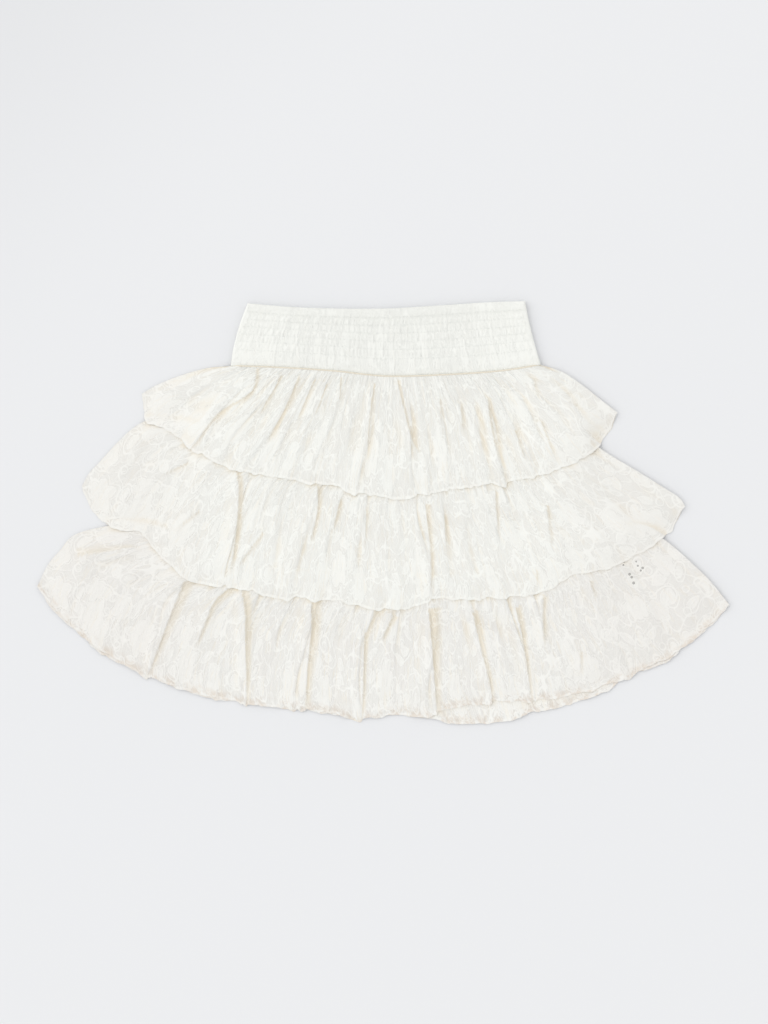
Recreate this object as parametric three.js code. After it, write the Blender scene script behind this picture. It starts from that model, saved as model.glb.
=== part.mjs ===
// Tiered ruffle skirt of lace, laid flat on its back: smocked waistband, three gathered tiers and a lining.
// Millimetres. The surface it lies on is z = 0, +Z is up, +Y points to the waist and +X to the right of the
// front.
import * as THREE from 'three';

// Walls and gaps
const LACE = 1.5; // a tier's wall: net, raised cord and the small crinkle of the gathers
const LINING = 1.0; // plain woven lining
const BAND = 2.8; // waistband: two layers of cloth with rows of elastic between them
const GAP = 0.3; // between pieces at a seam, and between layers that lie on each other

// Smocking of the waistband
const HEADER = 10.5; // turned hem above the first row of elastic
const ELASTIC_ROWS = 6; // rows of stitching, a row of puffs between each two
const ROW_PITCH = 7.3;
const PUFFS = 40; // gathers across the front
const PUFF_HEIGHT = 1.3;
const PINCHED_SHARE = 0.35; // height that is left between two puffs of a row
const HEADER_WAVE = 0.4;

// How a fold grows from its gathered seam to the hem, and dies out towards a side
const SEAM_SHARE = 0.22; // part of a fold's height that is already there at the seam
const COVERED = 0.12; // share of the tier's depth where the tier above presses the folds down
const FULL_AT = 0.5; // share of the tier's depth where a fold is fully open
const SIDE_FADE = 0.03; // share of the width over which folds die out at a side
const FRONT_ROWS = [0, 0.1, 0.23, 0.38, 0.54, 0.7, 0.86, 1]; // places of a mesh's rows from seam to hem
const BACK_ROWS = [0, 0.2, 0.42, 0.62, 0.82, 1];
const LINING_COLUMNS = 12;
const BAND_OUTLINE_COLUMNS = 12;
const BAND_OUTLINE_ROWS = 4;
const NEAREST_COLUMNS = 0.0062; // two columns of a mesh are never closer than this

// Height map that keeps the layers apart
const CELL = 1;
const HALF_CELL_DIAGONAL = 0.71 * CELL;
const MAP_HALF_WIDTH = 345;
const MAP_HALF_LENGTH = 215;
const SETTLE_PASSES = 6; // how often a layer is stretched over the hollows between two crests

// Outlines, each a curve through its points: x to the right, y to the waist
const BAND_TOP = [
  { x: -130, y: 201 }, { x: -80, y: 197 }, { x: 2, y: 196 }, { x: 55, y: 199 }, { x: 103, y: 202 },
  { x: 136, y: 203 },
];
const BAND_LEFT = [{ x: -130, y: 201 }, { x: -138, y: 179 }, { x: -144, y: 156 }, { x: -146, y: 141 }];
const BAND_RIGHT = [{ x: 136, y: 203 }, { x: 139, y: 187 }, { x: 144, y: 166 }, { x: 151, y: 142 }];
const WAIST_SEAM = [
  { x: -146, y: 141 }, { x: -94, y: 139 }, { x: -48, y: 136 }, { x: 2, y: 131 }, { x: 52, y: 132 },
  { x: 112, y: 136 }, { x: 151, y: 142 },
];

const TIER_1_LEFT = [
  { x: -146, y: 141 }, { x: -169, y: 139 }, { x: -191, y: 133 }, { x: -219, y: 122 }, { x: -232, y: 114 },
];
const TIER_1_RIGHT = [
  { x: 151, y: 142 }, { x: 170, y: 136 }, { x: 189, y: 124 }, { x: 208, y: 109 }, { x: 225, y: 96 },
];
const TIER_1_HEM = [
  { x: -232, y: 114 }, { x: -226, y: 90 }, { x: -209, y: 80 }, { x: -171, y: 54 }, { x: -135, y: 39 },
  { x: -98, y: 34 }, { x: -44, y: 24 }, { x: 8, y: 14 }, { x: 31, y: 16 }, { x: 60, y: 22 }, { x: 98, y: 26 },
  { x: 125, y: 31 }, { x: 170, y: 42 }, { x: 201, y: 60 }, { x: 215, y: 76 }, { x: 225, y: 96 },
];

const TIER_2_SEAM = [
  { x: -171, y: 83 }, { x: -128, y: 64 }, { x: -80, y: 54 }, { x: 8, y: 46 }, { x: 103, y: 55 },
  { x: 146, y: 66 }, { x: 184, y: 83 },
];
const TIER_2_LEFT = [
  { x: -171, y: 83 }, { x: -200, y: 89 }, { x: -226, y: 89 }, { x: -243, y: 79 }, { x: -272, y: 49 },
  { x: -283, y: 37 }, { x: -290, y: 24 },
];
const TIER_2_RIGHT = [
  { x: 184, y: 83 }, { x: 208, y: 62 }, { x: 247, y: 38 }, { x: 266, y: 26 }, { x: 285, y: 13 },
  { x: 290, y: 5 },
];
const TIER_2_HEM = [
  { x: -290, y: 24 }, { x: -277, y: 1 }, { x: -262, y: -12 }, { x: -231, y: -22 }, { x: -221, y: -34 },
  { x: -189, y: -60 }, { x: -151, y: -70 }, { x: -111, y: -78 }, { x: -67, y: -83 }, { x: -24, y: -88 },
  { x: -2, y: -92 }, { x: 24, y: -92 }, { x: 43, y: -84 }, { x: 83, y: -82 }, { x: 119, y: -81 },
  { x: 147, y: -77 }, { x: 175, y: -63 }, { x: 214, y: -53 }, { x: 251, y: -35 }, { x: 279, y: -13 },
  { x: 290, y: 5 },
];

const TIER_3_SEAM = [
  { x: -205, y: -18 }, { x: -157, y: -41 }, { x: -99, y: -55 }, { x: 8, y: -64 }, { x: 122, y: -53 },
  { x: 179, y: -36 }, { x: 225, y: -14 },
];
const TIER_3_LEFT = [
  { x: -205, y: -18 }, { x: -234, y: -10 }, { x: -262, y: -12 }, { x: -298, y: -22 }, { x: -310, y: -36 },
  { x: -322, y: -50 }, { x: -332.5, y: -72 },
];
const TIER_3_RIGHT = [
  { x: 225, y: -14 }, { x: 248, y: -14 }, { x: 270, y: -26 }, { x: 299, y: -51 }, { x: 314, y: -66 },
  { x: 332.5, y: -89 },
];
const TIER_3_FRONT_HEM = [
  { x: -332.5, y: -72 }, { x: -306, y: -102 }, { x: -274, y: -130 }, { x: -231, y: -154 },
  { x: -181, y: -173 }, { x: -131, y: -183 }, { x: -80, y: -188 }, { x: -37, y: -195 }, { x: -8, y: -197 },
  { x: 16, y: -194 }, { x: 52, y: -190 }, { x: 83, y: -184 }, { x: 141, y: -180 }, { x: 194, y: -172 },
  { x: 234, y: -157 }, { x: 281, y: -134 }, { x: 308, y: -113 }, { x: 332.5, y: -89 },
];
const TIER_3_BACK_HEM = [
  { x: -332.5, y: -72 }, { x: -306, y: -103 }, { x: -274, y: -132 }, { x: -221, y: -157 },
  { x: -176, y: -175 }, { x: -131, y: -182 }, { x: -80, y: -187 }, { x: -37, y: -193 }, { x: 16, y: -195 },
  { x: 54, y: -197 }, { x: 74, y: -203 }, { x: 112, y: -200 }, { x: 153, y: -189 }, { x: 198, y: -178 },
  { x: 234, y: -158 }, { x: 281, y: -135 }, { x: 308, y: -114 }, { x: 332.5, y: -89 },
];

const LINING_LEFT = [{ x: -146, y: 141 }, { x: -171, y: 83 }, { x: -205, y: -18 }, { x: -224, y: -98 }];
const LINING_RIGHT = [{ x: 151, y: 142 }, { x: 184, y: 83 }, { x: 225, y: -14 }, { x: 242, y: -92 }];
const LINING_HEM = [
  { x: -224, y: -98 }, { x: -130, y: -112 }, { x: 8, y: -119 }, { x: 140, y: -110 }, { x: 242, y: -92 },
];

// Folds, each a ridge from the seam to the hem. at: place of its crest along the seam, 0 at the left and 1
// at the right; left, right: how far its two slopes run, in the same share; high: its height in mm; drift:
// how far its crest has moved along the tier by the hem.
const TIER_1_FOLDS = [
  { at: 0.045, left: 0.03, right: 0.03, high: 2.2, drift: 0 },
  { at: 0.118, left: 0.045, right: 0.034, high: 5.4, drift: 0.01 },
  { at: 0.188, left: 0.03, right: 0.018, high: 3.2, drift: 0.01 },
  { at: 0.242, left: 0.03, right: 0.018, high: 3.4, drift: 0.006 },
  { at: 0.288, left: 0.024, right: 0.018, high: 2.7, drift: 0.006 },
  { at: 0.326, left: 0.02, right: 0.016, high: 2.3, drift: 0.004 },
  { at: 0.364, left: 0.02, right: 0.018, high: 3.2, drift: 0.01 },
  { at: 0.41, left: 0.026, right: 0.02, high: 2.2, drift: 0.004 },
  { at: 0.457, left: 0.024, right: 0.016, high: 3.4, drift: 0.006 },
  { at: 0.498, left: 0.02, right: 0.018, high: 2, drift: 0.004 },
  { at: 0.542, left: 0.026, right: 0.016, high: 4.6, drift: 0.03 },
  { at: 0.588, left: 0.022, right: 0.02, high: 2.4, drift: 0.01 },
  { at: 0.634, left: 0.024, right: 0.016, high: 3.1, drift: -0.006 },
  { at: 0.682, left: 0.026, right: 0.018, high: 3.2, drift: -0.01 },
  { at: 0.72, left: 0.02, right: 0.018, high: 2.1, drift: -0.008 },
  { at: 0.758, left: 0.022, right: 0.016, high: 4.4, drift: -0.02 },
  { at: 0.8, left: 0.022, right: 0.018, high: 2.8, drift: -0.014 },
  { at: 0.844, left: 0.022, right: 0.02, high: 3, drift: -0.012 },
  { at: 0.89, left: 0.024, right: 0.02, high: 3.2, drift: -0.008 },
  { at: 0.938, left: 0.026, right: 0.024, high: 2.4, drift: 0 },
];
const TIER_2_FOLDS = [
  { at: 0.04, left: 0.03, right: 0.026, high: 2.4, drift: 0 },
  { at: 0.095, left: 0.028, right: 0.022, high: 3.2, drift: -0.006 },
  { at: 0.15, left: 0.03, right: 0.02, high: 3.4, drift: 0 },
  { at: 0.2, left: 0.034, right: 0.018, high: 5, drift: 0.062 },
  { at: 0.25, left: 0.02, right: 0.018, high: 3.2, drift: 0.04 },
  { at: 0.3, left: 0.026, right: 0.02, high: 2.6, drift: 0.02 },
  { at: 0.352, left: 0.028, right: 0.02, high: 3.6, drift: 0.014 },
  { at: 0.402, left: 0.024, right: 0.018, high: 3, drift: 0.004 },
  { at: 0.452, left: 0.026, right: 0.018, high: 3.2, drift: 0.008 },
  { at: 0.498, left: 0.022, right: 0.02, high: 2.4, drift: 0.004 },
  { at: 0.532, left: 0.02, right: 0.018, high: 2.2, drift: 0 },
  { at: 0.572, left: 0.026, right: 0.014, high: 4.8, drift: -0.004 },
  { at: 0.61, left: 0.02, right: 0.018, high: 3, drift: -0.004 },
  { at: 0.656, left: 0.026, right: 0.02, high: 2.4, drift: -0.01 },
  { at: 0.708, left: 0.026, right: 0.018, high: 3.6, drift: -0.02 },
  { at: 0.752, left: 0.022, right: 0.018, high: 3, drift: -0.026 },
  { at: 0.806, left: 0.028, right: 0.02, high: 3.6, drift: -0.03 },
  { at: 0.858, left: 0.026, right: 0.022, high: 2.8, drift: -0.014 },
  { at: 0.908, left: 0.024, right: 0.024, high: 3, drift: -0.006 },
  { at: 0.955, left: 0.022, right: 0.022, high: 2.2, drift: 0 },
];
const TIER_3_FOLDS = [
  { at: 0.04, left: 0.028, right: 0.034, high: 3.4, drift: 0.008 },
  { at: 0.098, left: 0.028, right: 0.026, high: 2.6, drift: 0.004 },
  { at: 0.152, left: 0.03, right: 0.016, high: 5, drift: 0.026 },
  { at: 0.208, left: 0.034, right: 0.016, high: 4.2, drift: 0.018 },
  { at: 0.252, left: 0.024, right: 0.02, high: 5.4, drift: 0.058 },
  { at: 0.306, left: 0.026, right: 0.02, high: 2.6, drift: 0.036 },
  { at: 0.36, left: 0.03, right: 0.016, high: 5.6, drift: 0.028 },
  { at: 0.412, left: 0.026, right: 0.022, high: 2.8, drift: 0.01 },
  { at: 0.46, left: 0.028, right: 0.016, high: 4.6, drift: 0.012 },
  { at: 0.506, left: 0.026, right: 0.016, high: 3.6, drift: -0.004 },
  { at: 0.564, left: 0.036, right: 0.014, high: 6, drift: 0.006 },
  { at: 0.606, left: 0.02, right: 0.02, high: 2.4, drift: 0.004 },
  { at: 0.636, left: 0.02, right: 0.014, high: 4.8, drift: 0.008 },
  { at: 0.67, left: 0.02, right: 0.018, high: 2.6, drift: 0 },
  { at: 0.7, left: 0.022, right: 0.014, high: 5, drift: 0.002 },
  { at: 0.744, left: 0.022, right: 0.018, high: 4.2, drift: -0.024 },
  { at: 0.79, left: 0.024, right: 0.02, high: 3, drift: -0.01 },
  { at: 0.84, left: 0.028, right: 0.022, high: 3.8, drift: -0.008 },
  { at: 0.896, left: 0.028, right: 0.024, high: 3, drift: 0 },
  { at: 0.948, left: 0.026, right: 0.024, high: 2.6, drift: 0 },
];

// The back is gathered like the front but lies pressed on the surface, so its folds are fewer and lower.
const BACK_FOLDS = 14;
const BACK_HIGH = 1.3;
const BACK_HIGH_CHANGE = 0.4;
const BACK_SWAY = 0.012;
const BACK_SLOPE = 0.4; // share of the room between two crests that one slope takes
const BACK_TURN = { sway: 2.4, high: 1.7, drift: 2.1 }; // radians a fold, so that no two folds are alike

const LACE_WHITE = 0xf1f0ea;
const LINING_WHITE = 0xf5f5f2;
const CLOTH_ROUGHNESS = 0.9;

/** Curve through a table of points, read evenly by its length. */
function curve(points) {
  const through = points.map(({ x, y }) => new THREE.Vector3(x, y, 0));
  const spline = new THREE.CatmullRomCurve3(through, false, 'centripetal');
  spline.arcLengthDivisions = 1000;
  return spline;
}

/** Surface between a seam, a hem and two sides: u runs along the seam, v from the seam to the hem. */
class Patch {
  constructor({ seam, hem, left, right }) {
    this.seam = curve(seam);
    this.hem = curve(hem);
    this.left = curve(left);
    this.right = curve(right);
    this.corners = [this.seam, this.hem].flatMap((edge) => [edge.getPointAt(0), edge.getPointAt(1)]);
  }

  at(u, v) {
    const [seamLeft, seamRight, hemLeft, hemRight] = this.corners;
    return new THREE.Vector3()
      .addScaledVector(this.seam.getPointAt(u), 1 - v)
      .addScaledVector(this.hem.getPointAt(u), v)
      .addScaledVector(this.left.getPointAt(v), 1 - u)
      .addScaledVector(this.right.getPointAt(v), u)
      .addScaledVector(seamLeft, -(1 - u) * (1 - v))
      .addScaledVector(seamRight, -u * (1 - v))
      .addScaledVector(hemLeft, -(1 - u) * v)
      .addScaledVector(hemRight, -u * v);
  }
}

/** Calls visit(index, x, y) for each cell of the height map that a triangle may touch. */
function cellsUnder(a, b, c, visit) {
  const turn = Math.sign((b.x - a.x) * (c.y - a.y) - (b.y - a.y) * (c.x - a.x));
  if (turn === 0) return;
  const edges = [[a, b], [b, c], [c, a]].map(([from, to]) => {
    const length = Math.hypot(to.x - from.x, to.y - from.y);
    return { from, x: (-(to.y - from.y) / length) * turn, y: ((to.x - from.x) / length) * turn };
  });
  const cellOf = (value, half) => Math.floor((value + half) / CELL);
  const firstColumn = cellOf(Math.min(a.x, b.x, c.x), MAP_HALF_WIDTH) - 1;
  const lastColumn = cellOf(Math.max(a.x, b.x, c.x), MAP_HALF_WIDTH) + 1;
  const firstRow = cellOf(Math.min(a.y, b.y, c.y), MAP_HALF_LENGTH) - 1;
  const lastRow = cellOf(Math.max(a.y, b.y, c.y), MAP_HALF_LENGTH) + 1;
  for (let row = firstRow; row <= lastRow; row++) {
    const y = (row + 0.5) * CELL - MAP_HALF_LENGTH;
    for (let column = firstColumn; column <= lastColumn; column++) {
      const x = (column + 0.5) * CELL - MAP_HALF_WIDTH;
      const inside = edges.map((edge) => (x - edge.from.x) * edge.x + (y - edge.from.y) * edge.y);
      if (Math.min(...inside) >= -HALF_CELL_DIAGONAL) visit(row * Pile.columns + column, x, y);
    }
  }
}

/** Height map of all that is laid down so far. */
class Pile {
  static columns = (2 * MAP_HALF_WIDTH) / CELL;

  constructor() {
    const rows = (2 * MAP_HALF_LENGTH) / CELL;
    this.height = new Float64Array(Pile.columns * rows).fill(-GAP);
  }

  /** Lays one triangle of an upper face on the pile. */
  add(a, b, c) {
    const normal = new THREE.Vector3().crossVectors(b.clone().sub(a), c.clone().sub(a));
    const slope = { x: -normal.x / normal.z, y: -normal.y / normal.z };
    const highest = Math.max(a.z, b.z, c.z);
    const margin = Math.hypot(slope.x, slope.y) * HALF_CELL_DIAGONAL;
    cellsUnder(a, b, c, (cell, x, y) => {
      const z = Math.min(highest, a.z + slope.x * (x - a.x) + slope.y * (y - a.y) + margin);
      this.height[cell] = Math.max(this.height[cell], z);
    });
  }

  /** Highest point of the pile under a triangle. */
  under(a, b, c) {
    let highest = -GAP;
    cellsUnder(a, b, c, (cell) => {
      highest = Math.max(highest, this.height[cell]);
    });
    return highest;
  }
}

const smooth = (value) => THREE.MathUtils.smoothstep(value, 0, 1);
const evenly = (steps) => Array.from({ length: steps + 1 }, (_, i) => i / steps);

/** Height of the folds at a place of a tier, before it is laid on anything. */
function foldHeight(folds, u, v) {
  const open = SEAM_SHARE + (1 - SEAM_SHARE) * smooth((v - COVERED) / (FULL_AT - COVERED));
  const side = smooth(u / SIDE_FADE) * smooth((1 - u) / SIDE_FADE);
  let height = 0;
  for (const fold of folds) {
    const reach = u < fold.at ? fold.left : fold.right;
    const away = Math.abs(u - fold.at) / reach;
    if (away < 1) height = Math.max(height, fold.high * 0.5 * (1 + Math.cos(Math.PI * away)));
  }
  return height * open * side;
}

/** Columns of a tier's mesh: on each crest, at its slopes' feet and, for round slopes, half way down. */
function foldColumns(folds, roundSlopes) {
  const wanted = [0, SIDE_FADE / 2, 1 - SIDE_FADE / 2, 1];
  for (const { at, left, right } of folds) {
    wanted.push(at, at - left, at + right);
    if (roundSlopes) wanted.push(at - left / 2, at + right / 2);
  }
  const columns = [];
  for (const u of wanted.sort((first, second) => first - second)) {
    if (u < 0 || u > 1) continue;
    if (columns.length === 0 || u - columns.at(-1) >= NEAREST_COLUMNS) columns.push(u);
  }
  if (columns.at(-1) < 1) columns[columns.length - 1] = 1;
  return columns;
}

/** How far a column has moved sideways at the hem: taken between the drifts of its two nearest folds. */
function driftAt(folds, u) {
  const stops = [{ at: 0, drift: 0 }, ...folds, { at: 1, drift: 0 }];
  const next = stops.findIndex((stop) => stop.at >= u);
  if (next <= 0) return 0;
  const [before, after] = [stops[next - 1], stops[next]];
  return THREE.MathUtils.mapLinear(u, before.at, after.at, before.drift, after.drift);
}

/** Closed wall between an upper and a lower grid of points, rows from the seam to the hem. */
function wallGeometry(upper, lower) {
  const rows = upper.length;
  const columns = upper[0].length;
  const positions = [...upper.flat(), ...lower.flat()].flatMap((point) => [point.x, point.y, point.z]);
  const below = rows * columns;
  const index = (row, column) => row * columns + column;
  const faces = [];
  for (let row = 0; row + 1 < rows; row++) {
    for (let column = 0; column + 1 < columns; column++) {
      const a = index(row, column);
      const b = index(row, column + 1);
      const c = index(row + 1, column + 1);
      const d = index(row + 1, column);
      faces.push(a, d, c, a, c, b);
      faces.push(a + below, c + below, d + below, a + below, b + below, c + below);
    }
  }
  for (const [from, to] of rim(rows, columns)) {
    const p = index(...from);
    const q = index(...to);
    faces.push(q, p, p + below, q, p + below, q + below);
  }
  return closedGeometry(positions, faces);
}

/** Edges round a grid, counter-clockwise seen from above. */
function rim(rows, columns) {
  const edges = [];
  for (let row = 0; row + 1 < rows; row++) edges.push([[row, 0], [row + 1, 0]]);
  const [lastRow, lastColumn] = [rows - 1, columns - 1];
  for (let column = 0; column < lastColumn; column++) edges.push([[lastRow, column], [lastRow, column + 1]]);
  for (let row = lastRow; row > 0; row--) edges.push([[row, lastColumn], [row - 1, lastColumn]]);
  for (let column = lastColumn; column > 0; column--) edges.push([[0, column], [0, column - 1]]);
  return edges;
}

function closedGeometry(positions, faces) {
  const geometry = new THREE.BufferGeometry();
  geometry.setAttribute('position', new THREE.Float32BufferAttribute(positions, 3));
  geometry.setIndex(faces);
  geometry.computeVertexNormals();
  return geometry;
}

/** Lays a panel of cloth on the pile and returns its closed wall. */
function layPanel(pile, patch, { folds = [], columns, rows, thick }) {
  const flat = rows.map((v) => columns.map((u) => patch.at(u + driftAt(folds, u) * v, v)));
  const lift = flat.map((row) => row.map(() => 0));
  for (let row = 0; row + 1 < rows.length; row++) {
    for (let column = 0; column + 1 < columns.length; column++) {
      const corners = [[row, column], [row, column + 1], [row + 1, column + 1], [row + 1, column]];
      const [a, b, c, d] = corners.map(([i, j]) => flat[i][j]);
      const highest = Math.max(pile.under(a, d, c), pile.under(a, c, b)) + GAP;
      for (const [i, j] of corners) lift[i][j] = Math.max(lift[i][j], highest);
    }
  }
  spanHollows(lift);
  const lower = flat.map((row, i) => row.map((point, j) => (
    new THREE.Vector3(point.x, point.y, lift[i][j] + foldHeight(folds, columns[j], rows[i]))
  )));
  const upper = lower.map((row) => row.map((point) => new THREE.Vector3(point.x, point.y, point.z + thick)));
  for (let row = 0; row + 1 < rows.length; row++) {
    for (let column = 0; column + 1 < columns.length; column++) {
      const [a, b] = [upper[row][column], upper[row][column + 1]];
      const [c, d] = [upper[row + 1][column + 1], upper[row + 1][column]];
      pile.add(a, d, c);
      pile.add(a, c, b);
    }
  }
  return wallGeometry(upper, lower);
}

/** Cloth bridges the hollows of what it lies on: a point between two higher ones is raised towards them. */
function spanHollows(lift) {
  for (let pass = 0; pass < SETTLE_PASSES; pass++) {
    for (const row of lift) {
      for (let j = 1; j + 1 < row.length; j++) row[j] = Math.max(row[j], 0.5 * (row[j - 1] + row[j + 1]));
    }
  }
}

/** Fewer, lower folds for a back panel, uneven in height and spacing, and other ones for each tier. */
function backFolds(tier) {
  const pitch = 1 / (BACK_FOLDS + 1);
  return Array.from({ length: BACK_FOLDS }, (_, i) => {
    const sway = Math.sin(BACK_TURN.sway * i + tier);
    return {
      at: pitch * (i + 1) + BACK_SWAY * sway,
      left: BACK_SLOPE * pitch,
      right: BACK_SLOPE * pitch,
      high: BACK_HIGH + BACK_HIGH_CHANGE * Math.cos(BACK_TURN.high * i),
      drift: BACK_SWAY * Math.cos(BACK_TURN.drift * i),
    };
  });
}

/** A seam curve moved down by the gap, for the piece that is sewn below it. */
const belowSeam = (points) => points.map(({ x, y }) => ({ x, y: y - GAP }));

/** A side curve whose first point has moved down by the gap with the seam that it starts from. */
const belowSeamStart = ([start, ...rest]) => [...belowSeam([start]), ...rest];

/** Outline of a patch as a closed ring of points, counter-clockwise seen from above. */
function ringOf(grid) {
  return rim(grid.length, grid[0].length).map(([[row, column]]) => grid[row][column]);
}

/** Places of the waistband's mesh rows, as shares of its depth: on each row of elastic and each crest. */
function bandRows(depth) {
  const rows = [0, (0.5 * HEADER) / depth];
  for (let i = 0; i < ELASTIC_ROWS; i++) {
    rows.push((HEADER + i * ROW_PITCH) / depth);
    if (i + 1 < ELASTIC_ROWS) rows.push((HEADER + (i + 0.5) * ROW_PITCH) / depth);
  }
  return [...rows, 1];
}

/** Height of the front waistband's outer face over its plain inside: puffs between the rows of elastic. */
function smocking(row, column, lastRow) {
  const crest = column % 2 === 1;
  if (row <= 1) return crest ? HEADER_WAVE : 0;
  const onElastic = row % 2 === 0;
  if (onElastic || row === lastRow) return 0;
  return crest ? PUFF_HEIGHT : PINCHED_SHARE * PUFF_HEIGHT;
}

/** Front waistband: smocked outside, plain inside. */
function smockedBand(patch) {
  const rows = bandRows(BAND_TOP[2].y - WAIST_SEAM[3].y);
  const columns = evenly(2 * PUFFS);
  const grid = rows.map((v, i) => columns.map((u, j) => {
    const point = patch.at(u, v);
    const onSide = j === 0 || j === columns.length - 1;
    return point.setZ(2 * BAND + GAP + (onSide ? 0 : smocking(i, j, rows.length - 1)));
  }));
  const inside = ringOf(grid).map((point) => new THREE.Vector3(point.x, point.y, BAND + GAP));
  const below = rows.length * columns.length;
  const positions = [...grid.flat(), ...inside].flatMap((point) => [point.x, point.y, point.z]);
  const index = ([row, column]) => row * columns.length + column;
  const faces = [];
  for (let row = 0; row + 1 < rows.length; row++) {
    for (let column = 0; column + 1 < columns.length; column++) {
      const [a, b] = [index([row, column]), index([row, column + 1])];
      const [c, d] = [index([row + 1, column + 1]), index([row + 1, column])];
      faces.push(a, d, c, a, c, b);
    }
  }
  rim(rows.length, columns.length).forEach(([from, to], i, edges) => {
    const [p, q] = [index(from), index(to)];
    const [lowP, lowQ] = [below + i, below + ((i + 1) % edges.length)];
    faces.push(q, p, lowP, q, lowP, lowQ);
  });
  const flat = inside.map((point) => new THREE.Vector2(point.x, point.y));
  for (const [a, b, c] of THREE.ShapeUtils.triangulateShape(flat, [])) {
    faces.push(below + a, below + c, below + b);
  }
  return closedGeometry(positions, faces);
}

/** Back waistband: a plain wall of the same outline, flat where it rests. */
function plainBand(patch) {
  const columns = evenly(BAND_OUTLINE_COLUMNS);
  const grid = evenly(BAND_OUTLINE_ROWS).map((v) => columns.map((u) => patch.at(u, v)));
  const ring = ringOf(grid).map((point) => new THREE.Vector2(point.x, point.y));
  return new THREE.ExtrudeGeometry(new THREE.Shape(ring), { depth: BAND, bevelEnabled: false });
}

const waistband = new Patch({ seam: BAND_TOP, hem: WAIST_SEAM, left: BAND_LEFT, right: BAND_RIGHT });
const tier1 = new Patch({
  seam: belowSeam(WAIST_SEAM),
  hem: TIER_1_HEM,
  left: belowSeamStart(TIER_1_LEFT),
  right: belowSeamStart(TIER_1_RIGHT),
});
const tier2 = new Patch({ seam: TIER_2_SEAM, hem: TIER_2_HEM, left: TIER_2_LEFT, right: TIER_2_RIGHT });
const tier3Edges = { seam: TIER_3_SEAM, left: TIER_3_LEFT, right: TIER_3_RIGHT };
const tier3Front = new Patch({ ...tier3Edges, hem: TIER_3_FRONT_HEM });
const tier3Back = new Patch({ ...tier3Edges, hem: TIER_3_BACK_HEM });
const lining = new Patch({
  seam: belowSeam(WAIST_SEAM),
  hem: LINING_HEM,
  left: belowSeamStart(LINING_LEFT),
  right: belowSeamStart(LINING_RIGHT),
});

const skirt = new THREE.Group();

function addPiece(name, geometry, color) {
  const material = new THREE.MeshStandardMaterial({ color, roughness: CLOTH_ROUGHNESS, metalness: 0 });
  const piece = new THREE.Mesh(geometry, material);
  piece.name = name;
  skirt.add(piece);
}

// Laid down from the surface up: the back with its outermost tier first, the lining, then the front.
const pile = new Pile();
const layFront = (patch, folds) => (
  layPanel(pile, patch, { folds, columns: foldColumns(folds, true), rows: FRONT_ROWS, thick: LACE })
);
const layBack = (patch, tier) => {
  const folds = backFolds(tier);
  return layPanel(pile, patch, { folds, columns: foldColumns(folds, false), rows: BACK_ROWS, thick: LACE });
};
const layLining = () => (
  layPanel(pile, lining, { columns: evenly(LINING_COLUMNS), rows: BACK_ROWS, thick: LINING })
);
addPiece('tier_1_back', layBack(tier1, 1), LACE_WHITE);
addPiece('tier_2_back', layBack(tier2, 2), LACE_WHITE);
addPiece('tier_3_back', layBack(tier3Back, 3), LACE_WHITE);
addPiece('lining_back', layLining(), LINING_WHITE);
addPiece('lining_front', layLining(), LINING_WHITE);
addPiece('tier_3_front', layFront(tier3Front, TIER_3_FOLDS), LACE_WHITE);
addPiece('tier_2_front', layFront(tier2, TIER_2_FOLDS), LACE_WHITE);
addPiece('tier_1_front', layFront(tier1, TIER_1_FOLDS), LACE_WHITE);
addPiece('waistband_back', plainBand(waistband), LACE_WHITE);
addPiece('waistband_front', smockedBand(waistband), LACE_WHITE);

// The origin is the middle of the skirt's box, on the surface.
const middle = new THREE.Box3().setFromObject(skirt).getCenter(new THREE.Vector3());
skirt.position.set(-middle.x, -middle.y, 0);

export default skirt;
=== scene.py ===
"""Short tiered skirt of white lace, laid flat on its back and seen from straight above.

Metres. The surface is z = 0, +Z is up, +Y points to the waist and +X to the right of the front.
"""
from collections import namedtuple
from math import pi, tau

import bpy
import numpy as np
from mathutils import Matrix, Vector


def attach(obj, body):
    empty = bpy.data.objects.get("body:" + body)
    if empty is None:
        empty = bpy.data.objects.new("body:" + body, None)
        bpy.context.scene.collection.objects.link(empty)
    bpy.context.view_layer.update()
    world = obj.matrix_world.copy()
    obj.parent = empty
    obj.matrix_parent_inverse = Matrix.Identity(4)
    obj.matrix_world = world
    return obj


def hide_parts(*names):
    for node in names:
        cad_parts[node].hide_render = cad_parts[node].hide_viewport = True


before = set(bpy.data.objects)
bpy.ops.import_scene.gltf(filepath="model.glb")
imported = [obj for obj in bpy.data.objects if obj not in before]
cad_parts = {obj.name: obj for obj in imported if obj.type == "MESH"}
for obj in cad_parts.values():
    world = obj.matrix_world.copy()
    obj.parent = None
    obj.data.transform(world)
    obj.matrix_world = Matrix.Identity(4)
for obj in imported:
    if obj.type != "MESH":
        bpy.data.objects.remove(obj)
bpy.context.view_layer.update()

MM = 0.001

# Cloth and the room that it takes up in the pile
CLOTH = 0.3 * MM
LACE_LAYER = 1.5 * MM
LINING_LAYER = 1.0 * MM
GAP = 0.3 * MM


def metres(*points):
    """Points in metres, from their places in millimetres."""
    return [(x / 1000, y / 1000) for x, y in points]


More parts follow.
